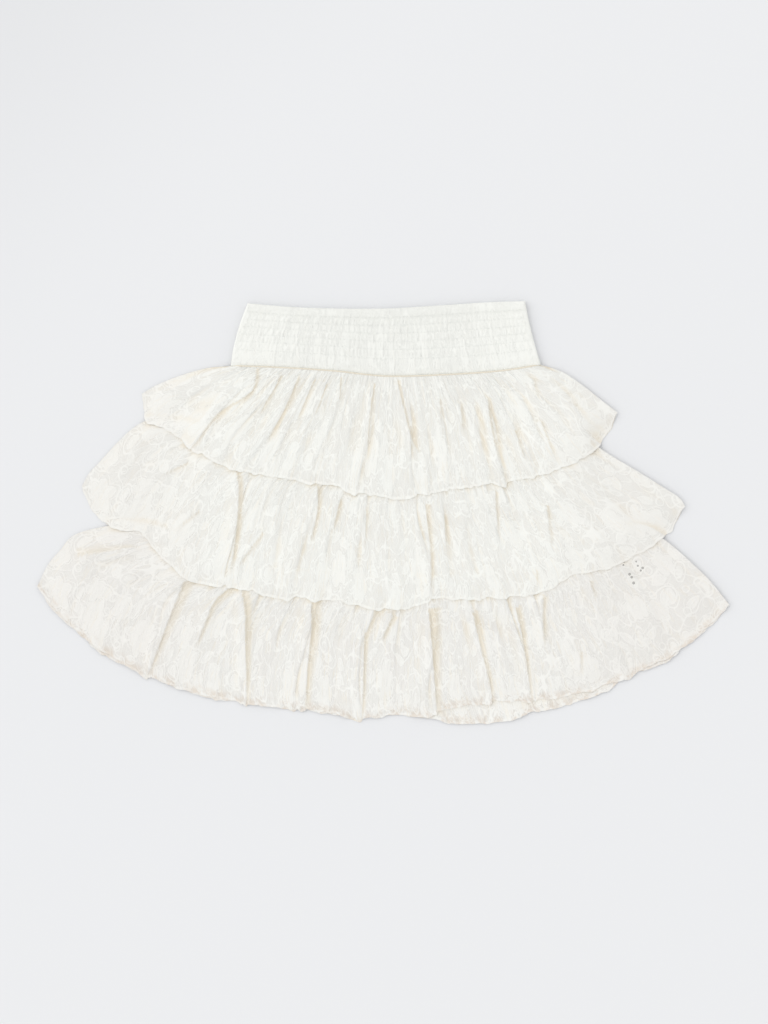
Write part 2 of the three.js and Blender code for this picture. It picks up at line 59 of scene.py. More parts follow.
# Outlines, each a curve through its points in millimetres: x to the right, y to the waist
BAND_TOP = metres((-130, 201), (-80, 197), (2, 196), (55, 199), (103, 202), (136, 203))
BAND_LEFT = metres((-130, 201), (-138, 179), (-144, 156), (-146, 141))
BAND_RIGHT = metres((136, 203), (139, 187), (144, 166), (151, 142))
WAIST_SEAM = metres((-146, 141), (-94, 139), (-48, 136), (2, 131), (52, 132), (112, 136), (151, 142))
TIER_1_LEFT = metres((-146, 141), (-169, 139), (-191, 133), (-219, 122), (-232, 114))
TIER_1_RIGHT = metres((151, 142), (170, 136), (189, 124), (208, 109), (225, 96))
TIER_1_HEM = metres(
    (-232, 114), (-226, 90), (-209, 80), (-171, 54), (-135, 39), (-98, 34), (-44, 24), (8, 14), (31, 16),
    (60, 22), (98, 26), (125, 31), (170, 42), (201, 60), (215, 76), (225, 96),
)
TIER_2_SEAM = metres((-171, 83), (-128, 64), (-80, 54), (8, 46), (103, 55), (146, 66), (184, 83))
TIER_2_LEFT = metres((-171, 83), (-200, 89), (-226, 89), (-243, 79), (-272, 49), (-283, 37), (-290, 24))
TIER_2_RIGHT = metres((184, 83), (208, 62), (247, 38), (266, 26), (285, 13), (290, 5))
TIER_2_HEM = metres(
    (-290, 24), (-277, 1), (-262, -12), (-231, -22), (-221, -34), (-189, -60), (-151, -70), (-111, -78),
    (-67, -83), (-24, -88), (-2, -92), (24, -92), (43, -84), (83, -82), (119, -81), (147, -77),
    (175, -63), (214, -53), (251, -35), (279, -13), (290, 5),
)
TIER_3_SEAM = metres((-205, -18), (-157, -41), (-99, -55), (8, -64), (122, -53), (179, -36), (225, -14))
TIER_3_LEFT = metres(
    (-205, -18), (-234, -10), (-262, -12), (-298, -22), (-310, -36), (-322, -50), (-332.5, -72),
)
TIER_3_RIGHT = metres((225, -14), (248, -14), (270, -26), (299, -51), (314, -66), (332.5, -89))
TIER_3_FRONT_HEM = metres(
    (-332.5, -72), (-306, -102), (-274, -130), (-231, -154), (-181, -173), (-131, -183), (-80, -188),
    (-37, -195), (-8, -197), (16, -194), (52, -190), (83, -184), (141, -180), (194, -172), (234, -157),
    (281, -134), (308, -113), (332.5, -89),
)
TIER_3_BACK_HEM = metres(
    (-332.5, -72), (-306, -103), (-274, -132), (-221, -157), (-176, -175), (-131, -182), (-80, -187),
    (-37, -193), (16, -195), (54, -197), (74, -203), (112, -200), (153, -189), (198, -178), (234, -158),
    (281, -135), (308, -114), (332.5, -89),
)
LINING_LEFT = metres((-146, 141), (-171, 83), (-205, -18), (-224, -98))
LINING_RIGHT = metres((151, 142), (184, 83), (225, -14), (242, -92))
LINING_HEM = metres((-224, -98), (-130, -112), (8, -119), (140, -110), (242, -92))

# Folds, each a ridge from the seam to the hem. at: place of its crest along the seam, 0 at the left and 1
# at the right; left, right: how far its two slopes run, in the same share; high: its height; drift: how
# far its crest has moved along the tier by the hem; tuck: how far the crest leans over its right slope.
Fold = namedtuple("Fold", "at left right high drift tuck")


def folds(*rows):
    """Folds from rows that hold their shares in thousandths and their heights in millimetres."""
    return [Fold(*(value / 1000 for value in row[:-1]), row[-1]) for row in rows]


TIER_1_FOLDS = folds(
    (45, 30, 30, 2.2, 0, 0.4), (118, 45, 34, 3.2, 10, 0.85), (188, 30, 18, 3.2, 10, 0.8),
    (242, 30, 18, 3.4, 6, 0.8), (288, 24, 18, 2.7, 6, 0.7), (326, 20, 16, 2.3, 4, 0.6),
    (364, 20, 18, 3.2, 10, 0.75), (410, 26, 20, 2.2, 4, 0.4), (457, 24, 16, 3.4, 6, 0.8),
    (498, 20, 18, 2, 4, 0.4), (542, 26, 16, 4.6, 30, 0.85), (588, 22, 20, 2.4, 10, 0.5),
    (634, 24, 16, 3.1, -6, 0.75), (682, 26, 18, 3.2, -10, 0.7), (720, 20, 18, 2.1, -8, 0.4),
    (758, 22, 16, 4.4, -20, 0.85), (800, 22, 18, 2.8, -14, 0.6), (844, 22, 20, 3, -12, 0.6),
    (890, 24, 20, 3.2, -8, 0.75), (938, 26, 24, 2.4, 0, 0.4),
)
TIER_2_FOLDS = folds(
    (40, 30, 26, 2.4, 0, 0.4), (95, 28, 22, 3.2, -6, 0.7), (150, 30, 20, 3.4, 0, 0.6),
    (200, 34, 18, 5, 62, 0.9), (250, 20, 18, 3.2, 40, 0.6), (300, 26, 20, 2.6, 20, 0.5),
    (352, 28, 20, 3.6, 14, 0.8), (402, 24, 18, 3, 4, 0.7), (452, 26, 18, 3.2, 8, 0.8),
    (498, 22, 20, 2.4, 4, 0.4), (532, 20, 18, 2.2, 0, 0.4), (572, 26, 14, 4.8, -4, 0.95),
    (610, 20, 18, 3, -4, 0.7), (656, 26, 20, 2.4, -10, 0.4), (708, 26, 18, 3.6, -20, 0.8),
    (752, 22, 18, 3, -26, 0.6), (806, 28, 20, 3.6, -30, 0.8), (858, 26, 22, 2.8, -14, 0.5),
    (908, 24, 24, 3, -6, 0.5), (955, 22, 22, 2.2, 0, 0.4),
)
TIER_3_FOLDS = folds(
    (40, 28, 34, 3.4, 8, 0.7), (98, 28, 26, 2.6, 4, 0.4), (152, 30, 16, 5, 26, 0.9),
    (208, 34, 16, 4.2, 18, 0.8), (252, 24, 20, 5.4, 58, 0.85), (306, 26, 20, 2.6, 36, 0.5),
    (360, 30, 16, 5.6, 28, 0.9), (412, 26, 22, 2.8, 10, 0.4), (460, 28, 16, 4.6, 12, 0.85),
    (506, 26, 16, 3.6, -4, 0.75), (564, 36, 14, 6, 6, 1.0), (606, 20, 20, 2.4, 4, 0.4),
    (636, 20, 14, 4.8, 8, 0.85), (670, 20, 18, 2.6, 0, 0.4), (700, 22, 14, 5, 2, 0.85),
    (744, 22, 18, 4.2, -24, 0.8), (790, 24, 20, 3, -10, 0.6), (840, 28, 22, 3.8, -8, 0.7),
    (896, 28, 24, 3, 0, 0.5), (948, 26, 24, 2.6, 0, 0.4),
)

# Pleats, each a ridge that rises softly from the left and falls off sharply at its right edge. high: its
# height; wide: how far its soft side runs; points: where its sharp edge runs, from above.
Pleat = namedtuple("Pleat", "high wide points")


def pleats(*rows):
    """Pleats from rows that hold a height, a width and then the points, all in millimetres."""
    return [Pleat(high * MM, wide * MM, metres(*points)) for high, wide, *points in rows]


TIER_1_PLEATS = pleats(
    (1.0, 18, (-121, 140), (-125, 118), (-157, 96), (-187, 60), (-214, 49)),
    (1.0, 11, (-98, 133), (-105, 118), (-112, 107), (-121, 89)),
    (1.0, 12, (-81, 132), (-91, 107), (-116, 60)),
    (0.8, 10, (-65, 130), (-85, 84)),
    (0.8, 10, (-54, 125), (-67, 89)),
    (0.8, 10, (-41, 130), (-42, 103)),
    (0.8, 10, (-9, 125), (-14, 84), (-16, 36)),
    (1.0, 13, (13, 127), (20, 98), (29, 66), (40, 49)),
    (0.7, 10, (54, 109), (55, 84)),
    (0.8, 10, (74, 107), (76, 76)),
    (1.0, 13, (100, 111), (102, 89), (111, 44)),
    (0.8, 10, (125, 80), (136, 49)),
    (0.8, 10, (143, 130), (148, 107)),
    (0.8, 10, (150, 89), (165, 49)),
)
TIER_2_PLEATS = pleats(
    (0.8, 10, (-186, 49), (-214, 36)),
    (0.8, 10, (-175, 4), (-201, -18)),
    (1.3, 14, (-141, 44), (-138, 22), (-143, -36), (-148, -67)),
    (0.8, 10, (-114, -17), (-135, -45), (-142, -53)),
    (1.2, 13, (-63, 27), (-63, 4), (-72, -36)),
    (0.8, 10, (-41, 13), (-49, -18)),
    (0.8, 10, (-16, 4), (-18, -36)),
    (1.3, 14, (40, 9), (45, -36), (45, -82)),
    (0.8, 10, (58, -1), (60, -36)),
    (1.0, 12, (107, 22), (109, -18)),
    (0.9, 11, (156, 9), (161, -36)),
    (0.8, 10, (146, -54), (147, -72)),
)
TIER_3_PLEATS = pleats(
    (1.6, 13, (-294, -42), (-264, -37), (-237, -34), (-228, -42)),
    (1.8, 14, (-190, -64), (-203, -96), (-217, -132), (-232, -172)),
    (1.5, 12, (-144, -69), (-161, -84), (-172, -109), (-183, -134)),
    (1.6, 13, (-136, -71), (-132, -96), (-132, -123), (-131, -169), (-131, -212)),
    (1.8, 14, (-69, -84), (-69, -114), (-72, -141), (-74, -170), (-76, -218)),
    (1.2, 11, (-18, -114), (-19, -146), (-20, -180), (-22, -215)),
    (1.4, 11, (10, -96), (-3, -124)),
    (1.9, 14, (43, -90), (46, -123), (48, -151), (51, -189), (53, -222)),
    (1.4, 12, (85, -94), (94, -132), (103, -169), (105, -191), (108, -220)),
    (1.4, 12, (126, -89), (132, -114), (139, -159), (145, -205)),
    (1.2, 11, (153, -78), (153, -114), (155, -134)),
    (1.1, 10, (197, -64), (203, -83)),
    (0.9, 10, (189, -132), (189, -156)),
)

# How a fold grows from its seam to the hem, and how its crest and its height wander on the way
SEAM_SHARE = 0.22
COVERED = 0.12
FULL_AT = 0.5
SIDE_FADE = 0.03
CREST_SWAY = 0.3
CREST_WAVES = (0.6, 1.3)
SWELL_WAVES = 0.6
FOLD_STARTS = (-0.3, 0.35)
FOLD_ENDS = (0.65, 1.5)
FOLD_GROWS = 0.3
FOLD_LEAST = 0.25

# The back lies pressed on the surface: fewer, lower folds, each a few turns on from the one before
BACK_FOLDS = 14
BACK_HIGH = 1.3 * MM
BACK_HIGH_CHANGE = 0.4 * MM
BACK_SWAY = 0.012
BACK_SLOPE = 0.4
BACK_TUCK = 0.5
BACK_TURNS = (2.4, 1.7, 2.1)

# Small gathers: how far their places, widths, lengths and heights vary
GATHER_LOOSE = 0.32
GATHER_WIDE = (0.36, 0.6)
GATHER_LENGTHS = (0.28, 0.45, 0.7, 1.2)
GATHER_LENGTH_CHANGE = (0.8, 1.2)
GATHER_SWAY = 0.5
GATHER_HIGH = (0.35, 1.0)
GATHER_AT_SEAM = 0.6
GATHER_GROWN = 0.06

# Ripples of the cloth: waves along a tier, how far each may tilt, and its share of the height
RIPPLES = ((7, 1.2, 0.5), (13, 2.1, 0.45), (23, 2.6, 0.35), (41, 3.4, 0.22), (60, 4.5, 0.14))
RIPPLE_CHANGE = 0.5
RIPPLE_SLOW = 0.37
WAVE_AT_SEAM = 0.25
WAVE_GROWN = 0.4
UNEVEN_WAVES = (4.3, 9.1, 17.7)

# How the cloth lies: its folds against the solids', its pleats, and how its edges are pressed down
FOLD_SHARE = 0.36
FOLD_CHANGE = 0.35
LEAN = 0.35
PLEAT_STEP = 2.0 * MM
PLEAT_SPOTS = 8
PLEAT_EDGE = 1.3 * MM
PLEAT_VALLEY = 0.2
VALLEY_AT = 1.6 * PLEAT_EDGE
VALLEY_WIDE = 1.1 * PLEAT_EDGE
PLEAT_START = 0.07
PLEAT_END = 0.3
# Pockets of painted shade beside the pleats' sharp edges: how far they reach, how strong they are and how
# they soften and fade down each pleat
POCKET = 14 * MM
POCKET_DEEP = 0.95
POCKET_END = 0.25
POCKET_SOFT = 1.6
POCKET_FADE = 0.5
HIGHEST_PLEAT = 1.8 * MM
PRESS_FROM = 0.72
CLOSE_GAP = 0.05 * MM
SIDE_PRESS = 0.03
SEAM_PRESS = 0.16
HEM_FALL = 0.84
HEM_FALL_CHANGE = 0.16
HEM_FALL_FROM = 0.86
HEM_STEP = 2.0
NEAR_HEM = 0.96
HEM_ONLY = 8
SIDE_ROLL = 12 * MM
SIDE_ROLL_GROWN = 0.3
LEFT_ROLL = 0.2
HEM_ROLL = 9 * MM
HEM_ROLL_CHANGE = 0.4
HEM_UNEVEN = 1.4 * MM
SCALLOP = 9.5 * MM
SCALLOP_DEEP = 0.45 * MM
SHARP_FROM = 0.9
# How deep below the cloth around shade is painted into hollows: the reach of the surroundings, where it
# starts and where it is full
HOLLOW_REACH = 3
HOLLOW_FROM = 0.35 * MM
HOLLOW_DEEP = 1.1 * MM
CRINKLE_MIDDLE = 1.1
CRINKLE_SIDE = 0.3
EDGE_STEP = (3 * MM, 2 * MM)
EDGE_STEPS = (0.15, 0.4, 1.0)

# The flat size of each tier's panels, between their mesh's surface and the maker's cut, and how the
# front and the back panels lie
FLAT = {1: (0.62, 0.098), 2: (0.70, 0.142), 3: (0.80, 0.144)}
FRONT = {
    "step": (1.0 * MM, 2.4 * MM), "gathers": 72, "gather_high": 0.55 * MM, "wave": 0.34 * MM, "reach": 11,
    "side_lift": 0.0, "hem_lift": 0.0,
}
BACK = {
    "step": (2.4 * MM, 4.0 * MM), "gathers": 40, "gather_high": 0.7 * MM, "wave": 0.2 * MM, "reach": 3,
    "side_lift": 2.8 * MM, "hem_lift": 0.0,
}
BACK_HEM_LIFT = 2.0 * MM
BACK_SEED = 10

# One panel of a tier: its plan, folds and pleats, its flat size, how finely it is meshed, its small gathers
# and ripples, how far it spans hollows, how far its edges curl up and how hard its seam is pressed
Ruffle = namedtuple("Ruffle", (
    "name patch folds pleats seed seam_press width length "
    "step gathers gather_high wave reach side_lift hem_lift"
))

LINING_FLAT = (0.47, 0.25)
LINING_STEP = (6.1 * MM, 6.0 * MM)
LINING_THICK = 0.4 * MM
LINING_WAVE = 0.12 * MM
LINING_REACH = 8
LINING_PRESS = 0.08
LINING_SEEDS = {"lining_panel_back": 21, "lining_panel_front": 22}

LIES_ON = {
    "ruffle_2_back": "ruffle_1_back",
    "ruffle_3_back": "ruffle_2_back",
    "lining_panel_back": "ruffle_3_back",
    "lining_panel_front": "lining_panel_back",
    "ruffle_3_front": "lining_panel_front",
    "ruffle_2_front": "ruffle_3_front",
    "ruffle_1_front": "ruffle_2_front",
    "waist_front": "waist_back",
}

# Eyelets in the right wing of the lowest tier: x, y and radius in millimetres
EYELETS = (
    (233.2, -44.3, 0.7), (230.4, -46.7, 1.0), (229.7, -49.8, 1.0), (242.1, -46.5, 1.0), (243.8, -50.5, 1.1),
    (248.4, -52.6, 1.4), (246.6, -55.1, 1.1), (235.7, -58.6, 1.5), (237.8, -61.5, 1.4), (239.7, -67.0, 1.5),
)

# Waistband. BAND_CLOTH is the width of its lace pattern.
BAND = 2.8 * MM
BAND_LENGTH = 65 * MM
BAND_WIDTH = 297 * MM
BAND_CLOTH = 0.62
BAND_STEP = {1: (0.75 * MM, 1.1 * MM), -1: (1.6 * MM, 2.0 * MM)}
BAND_EDGE_STEP = 1.4 * MM
BAND_SIDE_ROUND = 3.0 * MM
BAND_END_ROUND = 0.9 * MM
BAND_LIFT = 0.1 * MM
BAND_SEED = 30
BACK_RELIEF = 0.25
# A dark cord along the waist seam paints its shadow line: its radius
SEAM_RADIUS = 0.8 * MM
HEADER = 10.5 * MM
ELASTIC_ROWS = 6
ROW_PITCH = 7.3 * MM

# Its gathers: puffs between the rows of elastic, fine ridges in its frill and below the last row
PUFFS = 62
PUFF_HIGH = 0.65 * MM
PUFF_ROUND = 0.7
PUFF_SHARP = 1.3
PUFF_LEAST = 0.22
PUFF_SLANT = 0.25
PUFF_SWAY = 0.22
PUFF_OWN = 0.75
PUFF_CHANGE = 0.13
FINE_RIDGES = 98
FINE_SWAY = 0.3
HEADER_HIGH = 0.75 * MM
HEADER_FINE = 0.06 * MM
LOWER_HIGH = 0.45 * MM
LOWER_FINE = 0.08 * MM
WANDER_WAVES = (2, 11)
GROOVE = 0.5 * MM
GROOVE_WIDE = 0.8 * MM
GROOVE_CHANGE = 0.4
GROOVE_WAVES = (0.9, 0.55)

# Stitches of elastic thread. Each ring of one: place along it and share of its radius
THREAD_SIDES = 6
STITCH_PITCH = 3.6 * MM
STITCH_LONG = 2.5 * MM
STITCH_RADIUS = 0.28 * MM
STITCH_RINGS = ((-0.5, 0.25), (-0.32, 0.85), (0.0, 1.0), (0.32, 0.85), (0.5, 0.25))
STITCH_MARGIN = 3 * MM
STITCH_LOOSE = 0.12
STITCH_SWAY = 0.2 * MM
STITCH_LIFT = 0.12 * MM
STITCH_SEED = 71

# Tones of the cloth
IVORY = (0.852, 0.848, 0.813, 1)
CORD_WHITE = (0.868, 0.882, 0.855, 1)
SHEER_IVORY = (0.835, 0.824, 0.796, 1)
SHEER_CORD = (0.860, 0.866, 0.842, 1)
BAND_NET = (0.843, 0.851, 0.818, 1)
BAND_WHITE = (0.861, 0.869, 0.839, 1)
# Painted shade in the valleys of the lace's crinkle
CRINKLE_SHADE_TONE = (0.862, 0.822, 0.736, 1)
# Painted shade in hollows and in the pockets beside the pleats
HOLLOW_SHADE_TONE = (0.828, 0.765, 0.645, 1)
# Painted shade in patches along the hem
HEM_SHADE_TONE = (0.725, 0.655, 0.580, 1)
# Painted shade towards the wings: its tone, its share and the range from the middle in which it comes in
WING_SHADE_TONE = (0.782, 0.758, 0.732, 1)
WING_SHARE = 0.4
WING_RANGE = (0.13, 0.24)
# Tone of the cord that paints the shadow line along the waist seam
SEAM_SHADOW_TONE = (0.820, 0.765, 0.655, 1)
LINING_WHITE = (0.945, 0.945, 0.928, 1)
SLUB_SHADE = 0.985
# Painted shade in the grooves of a thread's twist
TWIST_GROOVE_SHADE = 0.94
FLOOR_TONES = ((0.764, 0.773, 0.793, 1), (0.776, 0.785, 0.805, 1))
# Painted shade towards the floor's upper-left corner
FLOOR_CORNER_SHADE = (0.715, 0.723, 0.742, 1)

# Motifs of the lace, in millimetres: spacing, how loosely they are scattered, least size and what it may add
Motif = namedtuple("Motif", "pitch loose least more")
FLOWER = Motif(46.0, 0.8, 12.0, 6.0)
LEAF = Motif(22.0, 1.0, 8.0, 5.0)
RINGS = Motif(34.0, 0.9, 10.0, 6.0)
PETALS = 5
PETAL_NOTCH = 0.72
HEART = 4.2
OUTER_RING = 1.25
LEAF_WIDE = 4.2
SMALL_RING = 4.4
RING_SLIM = 0.36
RING_SCALE = 0.75
INNER_RING = 0.55
NO_FLOWER = 0.4
NO_RINGS = 0.3
LEAF_SHARE = 0.62

# Raised cords of the lace: half width and soft edge
BOLD = (0.6, 0.6)
THICK = (0.5, 0.6)
THIN = (0.4, 0.5)
FINE = (0.3, 0.3)
STEM = (0.014, 0.014)
CURL = (0.02, 0.025)

# Net, crinkle and relief of the lace. Pitches, heights and sizes are in millimetres, and the crinkle's
# two sizes are across and along its streaks.
FLAT_NOISE = {"noise_dimensions": "2D"}
SWAY_SCALE = 0.03
SWAY_FAR = 9.0
STEM_PITCH = 30.0
CURL_PITCH = 16.0
CURL_SHIFT = (91.0, 37.0, 0.0)
NET_PITCH = 1.5
NET_THREAD = (0.25, 0.5)
BORDER = (3.0, 2.5)
BORDER_WAVE = 0.8
CLOUD_PITCH = 45.0
SPECK_PITCH = 1.5
FINE_CRINKLE = (2.4, 16.0)
BROAD_CRINKLE = (9.0, 34.0)
BROAD_HIGH = 2.4
# Patches of painted shade along the hem: their size across and along, and how far up from the hem they reach
RIM_PATCHES = (22.0, 9.0)
RIM_WIDE = 11.0
CORD_HIGH = 0.13
DENSE_HIGH = 0.05
NET_DEEP = 0.04
SPECK_HIGH = 0.08
EYELET_CLEAR = 0.6
CURL_SHARE = 0.7
DENSE_SHARE = 0.7
PETAL_SOFT = 0.5
VEIN = (0.4, 0.95)

# How the tones of the lace mix: shares of the patterns, and the range in which a mix comes in
CORD_TONE = 0.5
DENSE_TONE = 0.3
# Lighter cloud: patches at random, and a painted highlight on the fine crinkle's crests
CLOUD_SHARES = (0.5, 0.3, 0.4)
CLOUD_LEVEL = 0.2
CLOUD_RANGE = (0.45, 0.75)
CLOUD_TONE = 0.5
# Painted shade in the crinkle's valleys: shares of its two crinkles, the range in which it comes in, its
# strength, and how far raised cords keep clear of it
VALLEY_SHARES = (0.55, 0.45)
VALLEY_RANGE = (0.46, 0.34)
VALLEY_SHADE_SHARE = 0.55
CORD_COVERS = 0.3
# Patches of painted shade along the hem: the range in which they come in, and how far raised cords keep clear
# of them
RIM_RANGE = (0.38, 0.62)
RIM_COVERED = 0.5
LACE_ROUGH = 0.85

# Lining and thread
WEAVE_PITCH = 0.9
SLUB = (14.0, 1.2)
LINING_HEM_WIDE = 11.0
LINING_HEM_LINE = 0.4
LINING_HEM_DEEP = 0.25
WEAVE_HIGH = 0.05
SLUB_HIGH = 0.12
TWIST_HIGH = 0.05
LINING_ROUGH = 0.8
THREAD_ROUGH = 0.7
TWIST_PITCH = 0.9 * MM
TWIST_SLANT = 0.6

FLOOR_SIZE = 6.0
FLOOR_CLOUD = 1.1
FLOOR_ROUGH = 0.9
# Where the painted shade comes in towards the floor's upper-left corner
CORNER_SHADE_RANGE = (0.42, 1.0)
CAMERA_HEIGHT = 2.0
MM_PER_PIXEL = 0.96
FRAME_PIXELS = (768, 1024)
FRAME_CENTRE = (0.00072, 0.00096)
SUN_FROM = (-0.85, 0.40, 0.95)
SUN_STRENGTH = 0.8
SUN_ANGLE = 1.1
SUN_COLOUR = (1.0, 0.995, 0.985)
SKY_STRENGTH = 0.920
SKY_COLOUR = (1.0, 0.998, 0.99, 1)


class Edge:
    """Curve through a few points, read evenly by its length."""

    STEPS = 40

    def __init__(self, points):
        points = np.asarray(points, float)
        before = 2 * points[0] - points[1]
        after = 2 * points[-1] - points[-2]
        through = np.vstack([before, points, after])
        spans = [self.span(*through[i:i + 4]) for i in range(len(points) - 1)]
        self.line = np.vstack(spans + [points[-1:]])
        steps = np.linalg.norm(np.diff(self.line, axis=0), axis=1)
        self.run = np.concatenate([[0.0], np.cumsum(steps)])

    @classmethod
    def span(cls, a, b, c, d):
        """Points from b to c of the centripetal Catmull-Rom curve through a, b, c and d."""
        knots = [0.0]
        for first, second in ((a, b), (b, c), (c, d)):
            knots.append(knots[-1] + max(np.linalg.norm(second - first) ** 0.5, 1e-6))
        t = np.linspace(knots[1], knots[2], cls.STEPS, endpoint=False)[:, None]

        def blend(first, second, start, end):
            share = (t - start) / (end - start)
            return (1 - share) * first + share * second

        ab = blend(a, b, knots[0], knots[1])
        bc = blend(b, c, knots[1], knots[2])
        cd = blend(c, d, knots[2], knots[3])
        abc = blend(ab, bc, knots[0], knots[2])
        bcd = blend(bc, cd, knots[1], knots[3])
        return blend(abc, bcd, knots[1], knots[2])

    def at(self, share):
        wanted = np.asarray(share, float) * self.run[-1]
        return np.stack([np.interp(wanted, self.run, self.line[:, k]) for k in (0, 1)], axis=-1)


class Patch:
    """Surface between a seam, a hem and two sides."""

    def __init__(self, seam, hem, left, right):
        self.seam, self.hem, self.left, self.right = (Edge(e) for e in (seam, hem, left, right))

    def at(self, across, down):
        """Points of the plan: across runs along the seam, down from the seam to the hem."""
        u = np.asarray(across, float)[..., None]
        v = np.asarray(down, float)[..., None]
        sides = (1 - v) * self.seam.at(across) + v * self.hem.at(across)
        sides = sides + (1 - u) * self.left.at(down) + u * self.right.at(down)
        top = (1 - u) * self.seam.at(0) + u * self.seam.at(1)
        bottom = (1 - u) * self.hem.at(0) + u * self.hem.at(1)
        return sides - (1 - v) * top - v * bottom


def smooth(value):
    t = np.clip(value, 0.0, 1.0)
    return t * t * (3 - 2 * t)


def over(least, share):
    """least where the share is 0, up to 1 where it is 1."""
    return least + (1 - least) * share


def unit(vectors):
    return vectors / np.linalg.norm(vectors, axis=-1, keepdims=True)


def shifted(grid, rows, columns):
    """The grid moved by whole cells, its edge repeated."""
    height, width = grid.shape
    down = np.clip(np.arange(height) - rows, 0, height - 1)
    across = np.clip(np.arange(width) - columns, 0, width - 1)
    return grid[down][:, across]


def spread(grid, reach, join):
    """Joins each cell with its neighbours up to reach cells away, first along, then across."""
    for along in (True, False):
        steps = range(-reach, reach + 1)
        grid = join([shifted(grid, i, 0) if along else shifted(grid, 0, i) for i in steps])
    return grid


def highest(grids):
    top = grids[0]
    for grid in grids[1:]:
        top = np.maximum(top, grid)
    return top


def average(grids):
    return sum(grids) / len(grids)


class Pile:
    """Height of all that is laid down so far, on a grid over the plan."""

    CELL = 1.0 * MM
    HALF_WIDTH = 0.350
    HALF_LENGTH = 0.220

    def __init__(self):
        rows = round(2 * self.HALF_LENGTH / self.CELL) + 1
        columns = round(2 * self.HALF_WIDTH / self.CELL) + 1
        self.top = np.zeros((rows, columns))
        self.face = np.zeros((rows, columns))

    def cells(self, x, y):
        return (x + self.HALF_WIDTH) / self.CELL, (y + self.HALF_LENGTH) / self.CELL

    def bridged(self, grid, reach, soft):
        """What cloth that spans the hollows lies on: never lower than the grid, and smooth."""
        return spread(spread(grid, reach, highest), soft, average)

    def sample(self, grid, x, y):
        column, row = self.cells(x, y)
        column = np.clip(column, 0, grid.shape[1] - 1.001)
        row = np.clip(row, 0, grid.shape[0] - 1.001)
        j, i = column.astype(int), row.astype(int)
        s, t = column - j, row - i
        lower = (1 - s) * grid[i, j] + s * grid[i, j + 1]
        upper = (1 - s) * grid[i + 1, j] + s * grid[i + 1, j + 1]
        return (1 - t) * lower + t * upper

    def add(self, points, room):
        """Lays a grid of points on the pile, with the room above the cloth that the next piece leaves."""
        fine = finer(finer(np.dstack([points, room]), 1), 0)
        fine = finer(fine, 0)
        column, row = (np.rint(c).astype(int).ravel() for c in self.cells(fine[..., 0], fine[..., 1]))
        face = np.zeros_like(self.top)
        top = np.zeros_like(self.top)
        np.maximum.at(face, (row, column), fine[..., 2].ravel())
        np.maximum.at(top, (row, column), (fine[..., 2] + fine[..., 3]).ravel())
        self.face = np.maximum(self.face, spread(face, 1, highest))
        self.top = np.maximum(self.top, spread(top, 1, highest))


def finer(points, axis):
    """The grid with a new row or column half way between each two."""
    count = points.shape[axis]
    first = np.take(points, range(count - 1), axis)
    second = np.take(points, range(1, count), axis)
    shape = list(points.shape)
    shape[axis] = 2 * count - 1
    result = np.empty(shape)
    whole = [slice(None)] * points.ndim
    whole[axis] = slice(0, None, 2)
    result[tuple(whole)] = points
    whole[axis] = slice(1, None, 2)
    result[tuple(whole)] = 0.5 * (first + second)
    return result


def shares(length, step, fine=0.0):
    """Places from 0 to 1, about a step apart, with three closer ones at both ends."""
    count = max(2, round(length / step))
    inner = np.linspace(0.0, 1.0, count + 1)
    if not fine:
        return inner
    ends = np.array(EDGE_STEPS) * fine / length
    clear = ends[-1] + 0.5 * step / length
    inner = inner[(inner > clear) & (inner < 1 - clear)]
    return np.unique(np.concatenate([[0.0, 1.0], inner, ends, 1 - ends]))


def back_folds(tier):
    """Fewer, lower folds for a back panel, uneven in height and spacing, and other ones for each tier."""
    pitch = 1 / (BACK_FOLDS + 1)
    wide = BACK_SLOPE * pitch
    rows = []
    for i in range(BACK_FOLDS):
        turns = [turn * i for turn in BACK_TURNS]
        at = pitch * (i + 1) + BACK_SWAY * np.sin(turns[0] + tier)
        high = BACK_HIGH + BACK_HIGH_CHANGE * np.cos(turns[1])
        rows.append(Fold(at, wide, wide, high, BACK_SWAY * np.cos(turns[2]), BACK_TUCK))
    return rows


def opening(down):
    """Share of a fold's height at a depth of the tier."""
    return over(SEAM_SHARE, smooth((down - COVERED) / (FULL_AT - COVERED)))


def slope(across, fold, crest):
    """Round ridge: 1 on its crest, 0 at its two feet."""
    away = across - crest
    share = np.where(away < 0, -away / fold.left, away / fold.right)
    return 0.5 * (1 + np.cos(pi * np.clip(share, 0, 1)))


def main_folds(rows, across, down, chance):
    """Height of the listed folds and the sideways lean of their crests."""
    height = np.zeros(across.shape)
    lean = np.zeros(across.shape)
    for fold in rows:
        wave, turn = chance.uniform(*CREST_WAVES), chance.uniform(0, tau)
        crest = fold.at + CREST_SWAY * fold.left * np.sin(tau * wave * down + turn)
        start, end = chance.uniform(*FOLD_STARTS), chance.uniform(*FOLD_ENDS)
        grown = smooth((down - start) / FOLD_GROWS) * smooth((end - down) / FOLD_GROWS)
        swell = 1 + FOLD_CHANGE * np.sin(tau * SWELL_WAVES * wave * down + 2 * turn)
        high = FOLD_SHARE * fold.high * swell * over(FOLD_LEAST, grown)
        ridge = slope(across, fold, crest)
        height = height + (high * ridge) ** 2
        lean = lean + LEAN * fold.tuck * fold.right * ridge
    return height ** 0.5, lean


